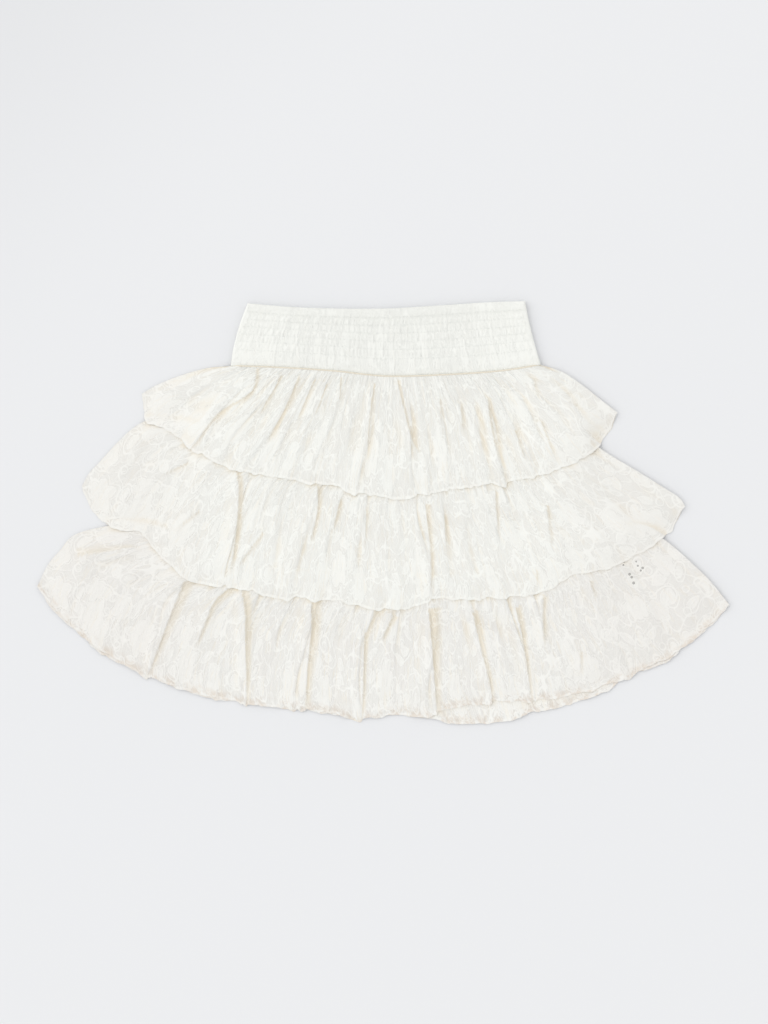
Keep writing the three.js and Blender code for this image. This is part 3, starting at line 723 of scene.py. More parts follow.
def gathers(across, down, count, high, chance):
    """Small ridges that start at the seam, side by side, and die out at uneven depths."""
    height = np.zeros(across.shape)
    lean = np.zeros(across.shape)
    grown = over(GATHER_AT_SEAM, smooth(down / GATHER_GROWN))
    for i in range(count):
        at = (i + 0.5 + chance.uniform(-GATHER_LOOSE, GATHER_LOOSE)) / count
        left, right = chance.uniform(*GATHER_WIDE, 2) / count
        length = chance.choice(GATHER_LENGTHS) * chance.uniform(*GATHER_LENGTH_CHANGE)
        sway = chance.uniform(-GATHER_SWAY, GATHER_SWAY) / count
        own = high * chance.uniform(*GATHER_HIGH)
        ridge = slope(across, Fold(at, left, right, own, 0, 0), at + sway * down)
        ridge = ridge * (1 - smooth(down / length)) * grown
        height = height + own * ridge
        lean = lean + LEAN * right * ridge
    return height, lean


def ripples(across, down, size, chance):
    """Soft waves of the cloth itself, a few millimetres to some centimetres long."""
    height = np.zeros(across.shape)
    for along, steep, share in RIPPLES:
        turn, tilt = chance.uniform(0, tau), chance.uniform(-steep, steep)
        slow = 1 + RIPPLE_CHANGE * np.sin(tau * (RIPPLE_SLOW * along * across + chance.uniform(0, 1)))
        height = height + size * share * slow * np.sin(tau * (along * across + tilt * down) + turn)
    return height


def pleated(pleats, plan):
    """Height that the pleats add, the share of it that cloth keeps beside their sharp edges, and the
    pockets of shade there, widest at the top of each pleat."""
    rise = np.zeros(plan.shape[:2])
    pocket_shade = np.zeros(plan.shape[:2])
    keep = np.ones(plan.shape[:2])
    for pleat in pleats:
        line = Edge(pleat.points)
        spots = line.at(np.linspace(0, 1, max(PLEAT_SPOTS, round(line.run[-1] / PLEAT_STEP))))
        way = np.gradient(spots, axis=0)
        way = unit(way)
        nearest = np.full(keep.shape, np.inf)
        aside = np.zeros(keep.shape)
        share = np.zeros(keep.shape)
        for i, (spot, run) in enumerate(zip(spots, way)):
            offset = plan - spot
            away = np.hypot(offset[..., 0], offset[..., 1])
            closer = away < nearest
            nearest = np.where(closer, away, nearest)
            aside = np.where(closer, offset[..., 0] * run[1] - offset[..., 1] * run[0], aside)
            share = np.where(closer, i / (len(spots) - 1), share)
        grown = smooth(share / PLEAT_START) * smooth((1 - share) / PLEAT_END)
        soft_side = 0.5 * (1 + np.cos(pi * np.clip(aside / pleat.wide, 0, 1)))
        sharp_side = smooth(1 + aside / PLEAT_EDGE)
        rise = rise + pleat.high * grown * np.where(aside > 0, soft_side, sharp_side)
        reach = POCKET * (pleat.high / HIGHEST_PLEAT) ** 2 * (1 - (1 - POCKET_END) * share)
        beside = np.where(aside > 0, 0, smooth(POCKET_SOFT * (1 + aside / reach)))
        open_end = smooth((1 - share) / PLEAT_END) * (share > 0)
        pocket_shade = np.maximum(pocket_shade, POCKET_DEEP * open_end * (1 - POCKET_FADE * share) * beside)
        valley = np.exp(-((aside + VALLEY_AT) / VALLEY_WIDE) ** 2)
        keep = keep * (1 - PLEAT_VALLEY * grown * valley)
    return rise, keep, pocket_shade


def drift(rows, across):
    """How far a place of the cloth has moved sideways at the hem, between its two nearest folds."""
    places = [0.0] + [fold.at for fold in rows] + [1.0]
    return np.interp(across, places, [0.0] + [fold.drift for fold in rows] + [0.0])


def inward(across, reach):
    """0 at both sides, 1 from a reach inwards."""
    return smooth(across / reach) * smooth((1 - across) / reach)


def pressed(across, down, side_reach):
    """How hard the hem and the sides are pressed down, from 0 to 1."""
    return np.maximum(smooth((down - PRESS_FROM) / (1 - PRESS_FROM)), 1 - inward(across, side_reach))


def lay_ruffle(pile, ruffle):
    """Points of a ruffle that is laid on the pile, from its seam to its hem, and its pockets of shade."""
    chance = np.random.default_rng(ruffle.seed)
    across_places = shares(ruffle.patch.hem.run[-1], ruffle.step[0], EDGE_STEP[0])
    down_places = shares(ruffle.length, ruffle.step[1], EDGE_STEP[1])
    across, down = np.meshgrid(across_places, down_places)
    side = inward(across, SIDE_FADE)
    big, big_lean = main_folds(ruffle.folds, across, down, chance)
    small, small_lean = gathers(across, down, ruffle.gathers, ruffle.gather_high, chance)
    wave = ripples(across, down, ruffle.wave, chance)
    rise = (big * opening(down) + small) * side
    lean = (big_lean * opening(down) + small_lean) * side
    place = across + drift(ruffle.folds, across) * down + lean
    plan = ruffle.patch.at(np.clip(place, 0, 1), down)
    grown = over(WAVE_AT_SEAM, smooth(down / WAVE_GROWN))
    height = rise + (wave - wave.min()) * grown * side
    added, keep, pocket_shade = pleated(ruffle.pleats, plan)
    height = (height + added) * keep
    plan = plan + hem_shape(ruffle, across, down, height, chance)
    fall = HEM_FALL + HEM_FALL_CHANGE * uneven_along(across, chance)
    height = height * (1 - fall * smooth((down - HEM_FALL_FROM) / (1 - HEM_FALL_FROM)))
    height = height + rolled(ruffle, across, down, chance)
    seam_press = ruffle.seam_press * (1 - smooth(down / SEAM_PRESS))
    press = np.maximum(pressed(across, down, SIDE_PRESS), seam_press)
    return settle(pile, plan, height, LACE_LAYER, ruffle.reach, press), pocket_shade


def uneven_along(across, chance):
    """Slow uneven change along an edge, from -1 to 1."""
    turns = chance.uniform(0, tau, len(UNEVEN_WAVES))
    return average([np.sin(tau * along * across + turn) for along, turn in zip(UNEVEN_WAVES, turns)])


def rolled(ruffle, across, down, chance):
    """How far the sides and the hem curl up from the surface, unevenly."""
    to_side = np.minimum(across, 1 - across) * ruffle.patch.hem.run[-1]
    side = ruffle.side_lift * (1 - smooth(to_side / SIDE_ROLL)) * smooth(down / SIDE_ROLL_GROWN)
    side = side * np.where(across < 0.5, LEFT_ROLL, 1.0)
    uneven = over(1 - HEM_ROLL_CHANGE, uneven_along(across, chance))
    hem = ruffle.hem_lift * uneven * (1 - smooth((1 - down) * ruffle.length / HEM_ROLL))
    return np.maximum(side, hem)


def hem_shape(ruffle, across, down, height, chance):
    """How far the hem reaches past its line: lower on the folds, in small scallops between."""
    way = ruffle.patch.hem.at(across) - ruffle.patch.at(across, np.full(across.shape, NEAR_HEM))
    way = unit(way)
    scallop = np.abs(np.sin(pi * across * ruffle.width / SCALLOP))
    uneven = ripples(across, np.zeros(across.shape), HEM_UNEVEN, chance)
    reach = HEM_STEP * (height - height[-1].mean()) + SCALLOP_DEEP * scallop + uneven
    return way * (reach * down ** HEM_ONLY)[..., None]


def settle(pile, plan, height, layer, reach, press):
    """Lays a panel: each point comes to lie on the bridged pile, raised by its own height.

    Where the cloth is pressed, it lies close to all that is under it.
    """
    x, y = plan[..., 0], plan[..., 1]
    loose = pile.sample(pile.bridged(pile.top, reach, reach), x, y) + layer / 2
    close = pile.sample(pile.bridged(pile.face, 1, 1), x, y) + CLOTH / 2 + CLOSE_GAP
    middle = loose + (close - loose) * press + height
    face = np.dstack([x, y, middle + CLOTH / 2])
    pile.add(face, (layer / 2 + GAP - CLOTH / 2) * (1 - press))
    return np.dstack([x, y, middle])


def hollows(pile, points):
    """How deep each point lies below the cloth around it, from 0 on the open face to 1: it sets where shade
    is painted into the hollows.
    """
    level = spread(spread(pile.face, HOLLOW_REACH, average), HOLLOW_REACH, average)
    below = pile.sample(level, points[..., 0], points[..., 1]) - points[..., 2]
    return smooth((below - HOLLOW_FROM) / HOLLOW_DEEP)


def lay_lining(pile, patch, seed):
    chance = np.random.default_rng(seed)
    across, down = np.meshgrid(*map(shares, LINING_FLAT, LINING_STEP))
    wave = ripples(across, down, LINING_WAVE, chance)
    press = pressed(across, down, LINING_PRESS)
    return settle(pile, patch.at(across, down), wave - wave.min(), LINING_LAYER, LINING_REACH, press)


def cloth_map(points, width, length):
    """Place on the cloth for each point: along its width, and up from the hem.

    The crinkle that is too fine for the mesh takes up more cloth in the middle than at the free sides.
    """
    steps = np.linalg.norm(np.diff(points, axis=1), axis=-1)
    middle = np.linspace(0, 1, steps.shape[1])
    taken = inward(middle, CRINKLE_SIDE)
    steps = steps * (1 + CRINKLE_MIDDLE * taken)
    width = width * (1 + CRINKLE_MIDDLE * taken.mean())
    run = np.concatenate([np.zeros((len(points), 1)), np.cumsum(steps, axis=1)], axis=1)
    u = width * run / run[:, -1:]
    fall = np.linalg.norm(np.diff(points, axis=0), axis=-1).mean(axis=1)
    depth = np.concatenate([[0.0], np.cumsum(fall)])
    v = length * (1 - depth / depth[-1])
    return np.dstack([u, np.broadcast_to(v[:, None], u.shape)])


def grid_faces(rows, columns, start=0, upward=True):
    corner = start + np.arange(rows - 1)[:, None] * columns + np.arange(columns - 1)[None, :]
    corner = corner.ravel()
    quads = [corner, corner + columns, corner + columns + 1, corner + 1]
    return np.stack(quads if upward else quads[::-1], axis=1)


def new_piece(name, points, faces, uv=None):
    """A smooth mesh object at the origin, with its cloth map where it has one."""
    faces = faces if isinstance(faces, list) else faces.tolist()
    mesh = bpy.data.meshes.new(name)
    mesh.from_pydata(points.tolist(), [], faces)
    if uv is not None:
        layer = mesh.uv_layers.new(name="cloth")
        corners = np.empty(len(mesh.loops), dtype=np.int32)
        mesh.loops.foreach_get("vertex_index", corners)
        layer.data.foreach_set("uv", uv[corners].ravel())
    mesh.polygons.foreach_set("use_smooth", np.ones(len(mesh.polygons), dtype=bool))
    mesh.update()
    piece = bpy.data.objects.new(name, mesh)
    bpy.context.scene.collection.objects.link(piece)
    return piece


def select_only(piece):
    bpy.ops.object.select_all(action="DESELECT")
    piece.select_set(True)
    bpy.context.view_layer.objects.active = piece


def sheet_piece(name, points, width, length, thick, painted_shade=None):
    """Thin shell of cloth on a grid of points."""
    rows, columns = points.shape[:2]
    uv = cloth_map(points, width, length)
    piece = new_piece(name, points.reshape(-1, 3), grid_faces(rows, columns), uv.reshape(-1, 2))
    # Shade painted into the hollows goes with each point as an attribute
    if painted_shade is not None:
        layer = piece.data.attributes.new("painted_shade", "FLOAT", "POINT")
        layer.data.foreach_set("value", painted_shade.ravel())
    select_only(piece)
    wall = piece.modifiers.new("wall", "SOLIDIFY")
    wall.thickness = thick
    wall.offset = 0.0
    wall.use_even_offset = False
    bpy.ops.object.modifier_apply(modifier=wall.name)
    bpy.ops.object.shade_smooth_by_angle(angle=SHARP_FROM)
    return piece


def rim_faces(rows, columns, below):
    """Faces that close the edge between an upper and a lower grid."""
    index = np.arange(rows * columns).reshape(rows, columns)
    ring = np.concatenate([index[:-1, 0], index[-1, :-1], index[:0:-1, -1], index[0, :0:-1]])
    after = np.roll(ring, -1)
    return np.stack([after, ring, ring + below, after + below], axis=1)


def wall_piece(name, upper, lower, width, length):
    """Closed wall between an upper and a lower grid of points."""
    rows, columns = upper.shape[:2]
    below = rows * columns
    points = np.concatenate([upper.reshape(-1, 3), lower.reshape(-1, 3)])
    uv = cloth_map(upper, width, length).reshape(-1, 2)
    faces = np.concatenate([
        grid_faces(rows, columns),
        grid_faces(rows, columns, below, upward=False),
        rim_faces(rows, columns, below),
    ])
    return new_piece(name, points, faces, np.concatenate([uv, uv]))


def wandering(across, count, size, chance):
    """Slow uneven change along the band, so that no two gathers are alike."""
    total = np.zeros(across.shape)
    for _ in range(count):
        total = total + size * np.sin(tau * (chance.uniform(*WANDER_WAVES) * across + chance.uniform(0, 1)))
    return total


def ridged(turns):
    """1 on the crest of each turn, 0 half way between."""
    return 0.5 + 0.5 * np.cos(tau * turns)


def bulge(share, power=0.5):
    """0 at both ends of a share from 0 to 1, 1 in its middle."""
    return np.sin(pi * np.clip(share, 0, 1)) ** power


def smocking(across, depth, chance):
    """Height of the waistband's outer face over its plain level, by the depth below its upper edge."""
    last = HEADER + (ELASTIC_ROWS - 1) * ROW_PITCH
    height = np.zeros(across.shape)
    for row in range(ELASTIC_ROWS - 1):
        share = (depth - (HEADER + row * ROW_PITCH)) / ROW_PITCH
        slant = chance.uniform(-PUFF_SLANT, PUFF_SLANT)
        turns = PUFFS * across + wandering(across, 4, PUFF_SWAY, chance) + slant * (share - 0.5)
        crest = over(PUFF_LEAST, ridged(turns) ** PUFF_SHARP)
        own = PUFF_OWN + wandering(across, 3, PUFF_CHANGE, chance)
        puff = PUFF_HIGH * own * bulge(share, PUFF_ROUND) * crest
        height = np.where((share > 0) & (share < 1), puff, height)
    fine = ridged(FINE_RIDGES * across + wandering(across, 4, FINE_SWAY, chance))
    header = bulge(depth / HEADER) * (HEADER_HIGH + HEADER_FINE * fine)
    lower = bulge((depth - last) / (BAND_LENGTH - last)) * (LOWER_HIGH + LOWER_FINE * fine)
    height = np.where(depth <= HEADER, header, height)
    height = np.where(depth >= last, lower, height)
    groove = GROOVE * np.exp(-((depth - HEADER) / GROOVE_WIDE) ** 2)
    waves, start = GROOVE_WAVES
    uneven = over(1 - GROOVE_CHANGE, np.sin(tau * (waves * across + start)))
    return height - groove * uneven


def edge_round(share, size, radius):
    """Quarter-round fall to both ends of a share: 0 at the ends, 1 from a radius inwards."""
    away = np.clip(1 - np.minimum(share, 1 - share) * size / radius, 0, 1)
    return np.sqrt(1 - away ** 2)


def band_points(patch, side):
    """Upper and lower grid of a waistband panel. side is 1 for the front and -1 for the back."""
    chance = np.random.default_rng(BAND_SEED + side)
    step = BAND_STEP[side]
    across_places = shares(BAND_WIDTH, step[0], BAND_EDGE_STEP)
    across, down = np.meshgrid(across_places, shares(BAND_LENGTH, step[1], BAND_EDGE_STEP))
    plan = patch.at(across, down)
    relief = smocking(across, down * BAND_LENGTH, chance)
    round_side = edge_round(across, BAND_WIDTH, BAND_SIDE_ROUND)
    full = round_side * edge_round(down, BAND_LENGTH, BAND_END_ROUND)
    half = 0.5 * BAND
    if side > 0:
        level = BAND + GAP + half
        upper = level + (half + relief * round_side) * full
        lower = level - half * full
    else:
        upper = half + (half - BACK_RELIEF * relief) * full
        lower = half - half * full + BAND_LIFT
    return np.dstack([plan, upper]), np.dstack([plan, lower])


def tube_faces(rings, sides):
    """Faces around a tube of so many rings of points, and its two end caps."""
    faces = []
    for start in range(0, (rings - 1) * sides, sides):
        for k in range(sides):
            a, b = start + k, start + (k + 1) % sides
            faces.append((a, b, b + sides, a + sides))
    last = (rings - 1) * sides
    return faces + [tuple(range(sides))[::-1], tuple(range(last, last + sides))]


def stitches(name, surface):
    """Rows of short stitches of elastic thread, each a slim spindle lying in the groove of its row."""
    chance = np.random.default_rng(STITCH_SEED)
    template = np.array([
        (along * STITCH_LONG, STITCH_RADIUS * wide * np.cos(turn), STITCH_RADIUS * wide * np.sin(turn))
        for along, wide in STITCH_RINGS
        for turn in np.linspace(0, tau, THREAD_SIDES, endpoint=False)
    ])
    template_faces = tube_faces(len(STITCH_RINGS), THREAD_SIDES)
    points, faces = [], []
    for row in range(ELASTIC_ROWS):
        line = surface[round((HEADER + row * ROW_PITCH) / BAND_LENGTH * (len(surface) - 1))]
        run = np.concatenate([[0.0], np.cumsum(np.linalg.norm(np.diff(line[:, :2], axis=0), axis=1))])
        for i in range(int((run[-1] - 2 * STITCH_MARGIN) / STITCH_PITCH)):
            middle = STITCH_MARGIN + (i + 0.5 + chance.uniform(-STITCH_LOOSE, STITCH_LOOSE)) * STITCH_PITCH
            ends = (middle - 0.5 * STITCH_LONG, middle + 0.5 * STITCH_LONG)
            start, end = np.stack([np.interp(ends, run, line[:, k]) for k in range(3)], axis=1)
            way = unit(end - start)
            side = unit(np.cross((0, 0, 1), way))
            up = np.cross(way, side)
            aside = chance.uniform(-STITCH_SWAY, STITCH_SWAY)
            centre = 0.5 * (start + end) + np.array([0, aside, STITCH_LIFT])
            base = len(points) * len(template)
            points.append(centre + template[:, :1] * way + template[:, 1:2] * side + template[:, 2:] * up)
            faces += [tuple(base + v for v in face) for face in template_faces]
    return new_piece(name, np.concatenate(points), faces)


def cord_along(name, line, radius):
    """Thin cord along a line. Along the waist seam it is a dark cord that paints the seam's shadow line."""
    way = np.gradient(line, axis=0)
    way = unit(way)
    side = np.cross(way, (0, 0, 1))
    side = unit(side)
    up = np.cross(side, way)
    turns = np.linspace(0, tau, THREAD_SIDES, endpoint=False)
    rings = [line + radius * (np.cos(turn) * side + np.sin(turn) * up) for turn in turns]
    points = np.stack(rings, axis=1).reshape(-1, 3)
    return new_piece(name, points, tube_faces(len(line), THREAD_SIDES))


class Strand:
    """One output of a shader node. Arithmetic on it adds Math nodes."""

    def __init__(self, weave, socket):
        self.weave, self.socket = weave, socket

    def maths(self, operation, *others):
        values = dict(enumerate((self, *others)))
        return self.weave.node("ShaderNodeMath", {"operation": operation}, values)

    def other(self, output):
        return Strand(self.weave, self.socket.node.outputs[output])

    def __add__(self, value):
        return self.maths("ADD", value)

    def __mul__(self, value):
        return self.maths("MULTIPLY", value)

    def __sub__(self, value):
        return self.maths("SUBTRACT", value)

    def __truediv__(self, value):
        return self.maths("DIVIDE", value)

    def __rsub__(self, value):
        return self.weave.node("ShaderNodeMath", {"operation": "SUBTRACT"}, {0: value, 1: self})

    __radd__ = __add__
    __rmul__ = __mul__


class Weave:
    """A material and the nodes that it is woven from."""

    def __init__(self, name):
        self.material = bpy.data.materials.new(name)
        self.material.use_nodes = True
        self.material.node_tree.nodes.clear()

    def node(self, kind, settings=None, values=None, output=0):
        made = self.material.node_tree.nodes.new(kind)
        for name, value in (settings or {}).items():
            setattr(made, name, value)
        for name, value in (values or {}).items():
            if isinstance(value, Strand):
                self.material.node_tree.links.new(value.socket, made.inputs[name])
            else:
                made.inputs[name].default_value = value
        return Strand(self, made.outputs[output]) if len(made.outputs) else made

    def vector(self, operation, *values):
        return self.node("ShaderNodeVectorMath", {"operation": operation}, dict(enumerate(values)))

    def point(self, x, y, z=0.0):
        return self.node("ShaderNodeCombineXYZ", None, {0: x, 1: y, 2: z})

    def parts(self, vector):
        x = self.node("ShaderNodeSeparateXYZ", None, {0: vector})
        return x, x.other(1), x.other(2)

    def between(self, value, low, high):
        """0 up to low, 1 from high, smooth between. It falls instead where low is above high."""
        values = {"Value": value, "From Min": low, "From Max": high}
        return self.node("ShaderNodeMapRange", {"interpolation_type": "SMOOTHSTEP"}, values)

    def noise(self, vector, scale, detail=2.0):
        values = {"Vector": vector, "Scale": scale, "Detail": detail}
        return self.node("ShaderNodeTexNoise", FLAT_NOISE, values)

    def mix(self, factor, first, second):
        return self.node("ShaderNodeMix", {"data_type": "RGBA"}, {0: factor, 6: first, 7: second}, 2)

    def line(self, distance, half, soft=0.25):
        """1 on a line, 0 away from it, by the distance from its middle in millimetres."""
        return self.between(distance.maths("ABSOLUTE"), half + soft, half)

    def scaled(self, vector, scale):
        return self.node("ShaderNodeVectorMath", {"operation": "SCALE"}, {0: vector, "Scale": scale})

    def streaked(self, x, y, size, detail=2.0):
        """Noise that is stretched to a size across and a size along."""
        return self.noise(self.point(x / size[0], y / size[1]), 1.0, detail)

    def place(self):
        """Place on the skirt, in metres."""
        return self.node("ShaderNodeTexCoord", None, None, "Object")

    def spot(self):
        return self.parts(self.place())

    def cloth(self):
        """Place on the flat cloth in millimetres."""
        return self.scaled(self.node("ShaderNodeUVMap", {"uv_map": "cloth"}), 1 / MM)

    def surface(self, colour, roughness, height, alpha=1.0, sheen=0.15):
        """Joins the outputs to a matt cloth surface. height is in millimetres."""
        bump = self.node("ShaderNodeBump", None, {"Strength": 1.0, "Distance": MM, "Height": height})
        values = {
            "Base Color": colour, "Roughness": roughness, "Normal": bump, "Alpha": alpha,
            "Specular IOR Level": 0.2, "Sheen Weight": sheen, "Sheen Roughness": 0.4,
        }
        shader = self.node("ShaderNodeBsdfPrincipled", None, values)
        self.node("ShaderNodeOutputMaterial", None, {"Surface": shader})
        return self.material


def both(first, second):
    """The larger of two masks."""
    return first.maths("MAXIMUM", second)


def turned(weave, x, y, turn):
    """Coordinates turned by an angle."""
    c, s = turn.maths("COSINE"), turn.maths("SINE")
    return x * c + y * s, y * c - x * s


def scattered(weave, place, motif):
    """In each cell of a scatter: its motif's own coordinates, turn, size and a random number for its kind."""
    settings = {"voronoi_dimensions": "2D", "feature": "F1"}
    values = {"Vector": place, "Scale": 1 / motif.pitch, "Randomness": motif.loose}
    middle = weave.node("ShaderNodeTexVoronoi", settings, values, "Position")
    x, y, _ = weave.parts(weave.vector("SUBTRACT", place, middle))
    spin, size, kind = weave.parts(middle.other("Color"))
    return x, y, spin, motif.least + motif.more * size, kind


def length_of(x, y):
    return (x * x + y * y).maths("SQRT")


def beyond(weave, kind, share):
    """1 for the cells whose random number is beyond a share."""
    return weave.between(kind, share, share + 0.02)


def flowers(weave, place):
    """Five-petalled flowers: petals inside a raised outline, a ring at the heart and an outer ring."""
    x, y, spin, size, kind = scattered(weave, place, FLOWER)
    away = length_of(x, y)
    turn = y.maths("ARCTAN2", x) + spin * tau
    lobe = (turn * (PETALS / 2)).maths("COSINE").maths("ABSOLUTE")
    edge = size * over(PETAL_NOTCH, lobe)
    shown = beyond(weave, kind, NO_FLOWER)
    petals = weave.between(away - edge, PETAL_SOFT, -PETAL_SOFT) * shown
    outline = both(weave.line(away - edge, *THICK), weave.line(away - HEART, *THIN)) * shown
    outer = weave.line(away - edge * OUTER_RING, *THIN) * shown
    vein = (turn * (3 * PETALS)).maths("COSINE")
    outer_half = weave.between(away - edge * 0.5, -PETAL_SOFT, PETAL_SOFT)
    veins = weave.between(vein, *VEIN) * petals * outer_half
    return petals, both(outline, outer), veins


def leaves(weave, place):
    """Pointed leaves with a middle rib, and small rings in some places instead."""
    x, y, spin, long, kind = scattered(weave, place, LEAF)
    along, across = turned(weave, x, y, spin * tau)
    bend = along / long
    edge = (1.0 - bend * bend) * LEAF_WIDE - across.maths("ABSOLUTE")
    leaf = weave.between(edge, -0.2, 0.4)
    rib = weave.line(across, *FINE) * leaf
    rim = weave.line(edge, *THICK)
    ring = weave.line(length_of(x, y) - SMALL_RING, *BOLD)
    is_ring = beyond(weave, kind, LEAF_SHARE)
    is_leaf = 1.0 - is_ring
    return leaf * is_leaf, both(both(rim, rib) * is_leaf, ring * is_ring)


def ellipses(weave, place):
    """Long rings, one inside the other, with net between."""
    x, y, spin, long, kind = scattered(weave, place, RINGS)
    along, across = turned(weave, x, y, spin * pi)
    square = long * long
    shape = ((along * along) / square + (across * across) / (square * RING_SLIM)).maths("SQRT")
    edge = (shape - 1.0) * long * RING_SCALE
    inner = (shape - INNER_RING) * long * RING_SCALE
    shown = beyond(weave, kind, NO_RINGS)
    rims = both(weave.line(edge, *BOLD), weave.line(inner, *THIN))
    return weave.between(inner, 0.4, -0.4) * shown, rims * shown


def holes_at(weave, spots):
    """1 inside each of a few round holes, in millimetres."""
    x, y, _ = weave.spot()
    holes = x * 0.0
    for spot_x, spot_y, radius in spots:
        away = length_of(x - spot_x * MM, y - spot_y * MM)
        holes = both(holes, weave.between(away, radius * MM, 0.8 * radius * MM))
    return holes


# streaks: how far painted shade and highlight follow the crinkle; rim: how strongly shade is painted in
# patches along the hem
def lace(name, net_tone, cord_tone, openness=0.12, crinkle=0.24, streaks=1.0, rim=0.1, eyelets=()):
    """Floral lace: a fine net with flowers, leaves, rings and winding stems under a raised cord."""
    weave = Weave(name)
    place = weave.cloth()
    sway = weave.node("ShaderNodeTexNoise", FLAT_NOISE, {"Vector": place, "Scale": SWAY_SCALE}, "Color")
    soft_place = weave.vector("ADD", place, weave.scaled(sway, SWAY_FAR))
    x, y, _ = weave.parts(place)
    soft_x, soft_y, _ = weave.parts(soft_place)

    petals, flower_cord, veins = flowers(weave, soft_place)
    ground = 1.0 - petals
    heart, ellipse_cord = ellipses(weave, soft_place)
    leaf, leaf_cord = leaves(weave, soft_place)
    stems = weave.line(weave.noise(soft_place, 1 / STEM_PITCH, 0.0) - 0.5, *STEM)
    elsewhere = weave.vector("ADD", soft_place, CURL_SHIFT)
    curls = weave.line(weave.noise(elsewhere, 1 / CURL_PITCH, 0.0) - 0.55, *CURL)
    cords = both(flower_cord, ground * both(both(leaf_cord, ellipse_cord), both(stems, curls * CURL_SHARE)))
    dense = both(petals, both(leaf, heart) * ground)
    scallop = (x * (pi / (SCALLOP / MM))).maths("SINE").maths("ABSOLUTE")
    border = weave.between(y + scallop * BORDER_WAVE, *BORDER)

    diagonal, counter = (x + y) * (pi / NET_PITCH), (x - y) * (pi / NET_PITCH)
    mesh = (diagonal.maths("SINE") * counter.maths("SINE")).maths("ABSOLUTE")
    hole = weave.between(mesh, *NET_THREAD)
    hole = hole * (1.0 - cords) * (1.0 - border) * (1.0 - dense * DENSE_SHARE)

    wide = weave.noise(place, 1 / CLOUD_PITCH, 3.0)
    speck = weave.noise(place, 1 / SPECK_PITCH)
    fine = weave.streaked(soft_x, soft_y, FINE_CRINKLE)
    broad = weave.streaked(soft_x, soft_y, BROAD_CRINKLE, 1.0)
    height = cords * CORD_HIGH + dense * DENSE_HIGH + speck * SPECK_HIGH - (hole + veins) * NET_DEEP
    height = height + fine * crinkle + broad * (crinkle * BROAD_HIGH)
    tone = weave.mix(both(cords * CORD_TONE, dense * DENSE_TONE), net_tone, cord_tone)
    # Lighter cloud: patches at random, and lighter on the fine crinkle's crests, a painted highlight there
    by_wide, by_speck, by_fine = CLOUD_SHARES
    cloud = wide * by_wide + speck * by_speck + fine * (by_fine * streaks)
    cloud = weave.between(cloud + CLOUD_LEVEL * (1.0 - streaks), *CLOUD_RANGE)
    tone = weave.mix(cloud, tone, weave.mix(CLOUD_TONE, tone, cord_tone))
    # Painted shade in the valleys of the crinkle, strongest where the streaks show most
    valley = fine * VALLEY_SHARES[0] + broad * VALLEY_SHARES[1]
    valley = weave.between(valley, *VALLEY_RANGE) * (VALLEY_SHADE_SHARE * streaks)
    # Painted shade in the hollows and beside the pleats, read from the point attribute
    painted_shade = weave.node("ShaderNodeAttribute", {"attribute_name": "painted_shade"}, None, "Fac")
    under_cords = 1.0 - cords * CORD_COVERS
    tone = weave.mix(valley * under_cords, tone, CRINKLE_SHADE_TONE)
    tone = weave.mix(painted_shade * under_cords, tone, HOLLOW_SHADE_TONE)
    # Painted shade towards the wings
    wing = weave.between(weave.spot()[0].maths("ABSOLUTE"), *WING_RANGE)
    tone = weave.mix(wing, tone, weave.mix(WING_SHARE, tone, WING_SHADE_TONE))
    # Painted shade in patches along the hem, as strong as rim
    patches = weave.streaked(x, y, RIM_PATCHES)
    hem_shade = weave.between(y, RIM_WIDE, 1.0) * weave.between(patches, *RIM_RANGE)
    tone = weave.mix(hem_shade * (1.0 - cords * RIM_COVERED) * rim, tone, HEM_SHADE_TONE)
    alpha = 1.0 - hole * openness
    if eyelets:
        alpha = alpha * (1.0 - holes_at(weave, eyelets) * EYELET_CLEAR)
    return weave.surface(tone, LACE_ROUGH, height, alpha)


def darker(tone, shade):
    return tuple(shade * c for c in tone[:3]) + (1,)


def woven(name, tone):
    """Plain fine weave for the lining."""
    weave = Weave(name)
    x, y, _ = weave.parts(weave.cloth())
    threads = (x * (tau / WEAVE_PITCH)).maths("SINE") * (y * (tau / WEAVE_PITCH)).maths("SINE")
    slub = weave.streaked(x, y, SLUB)
    turned_hem = weave.line(y - LINING_HEM_WIDE, LINING_HEM_LINE)
    height = threads * WEAVE_HIGH + slub * SLUB_HIGH - turned_hem * LINING_HEM_DEEP
    return weave.surface(weave.mix(slub, tone, darker(tone, SLUB_SHADE)), LINING_ROUGH, height)


def thread(name, tone):
    """Twisted thread, with shade painted into the grooves of its twist."""
    weave = Weave(name)
    x, y, _ = weave.spot()
    twist = ((x + y * TWIST_SLANT) * (tau / TWIST_PITCH)).maths("SINE")
    colour = weave.mix(weave.between(twist, -1.0, 1.0), darker(tone, TWIST_GROOVE_SHADE), tone)
    return weave.surface(colour, THREAD_ROUGH, twist * TWIST_HIGH)


def pale_floor(name):
    weave = Weave(name)
    cloud = weave.noise(weave.place(), FLOOR_CLOUD, 1.0)
    x, y, _ = weave.spot()
    # Painted shade, darker towards the upper-left corner
    corner = weave.between(y - x, *CORNER_SHADE_RANGE)
    colour = weave.mix(corner, weave.mix(cloud, *FLOOR_TONES), FLOOR_CORNER_SHADE)
    return weave.surface(colour, FLOOR_ROUGH, cloud * 0.0, sheen=0.0)


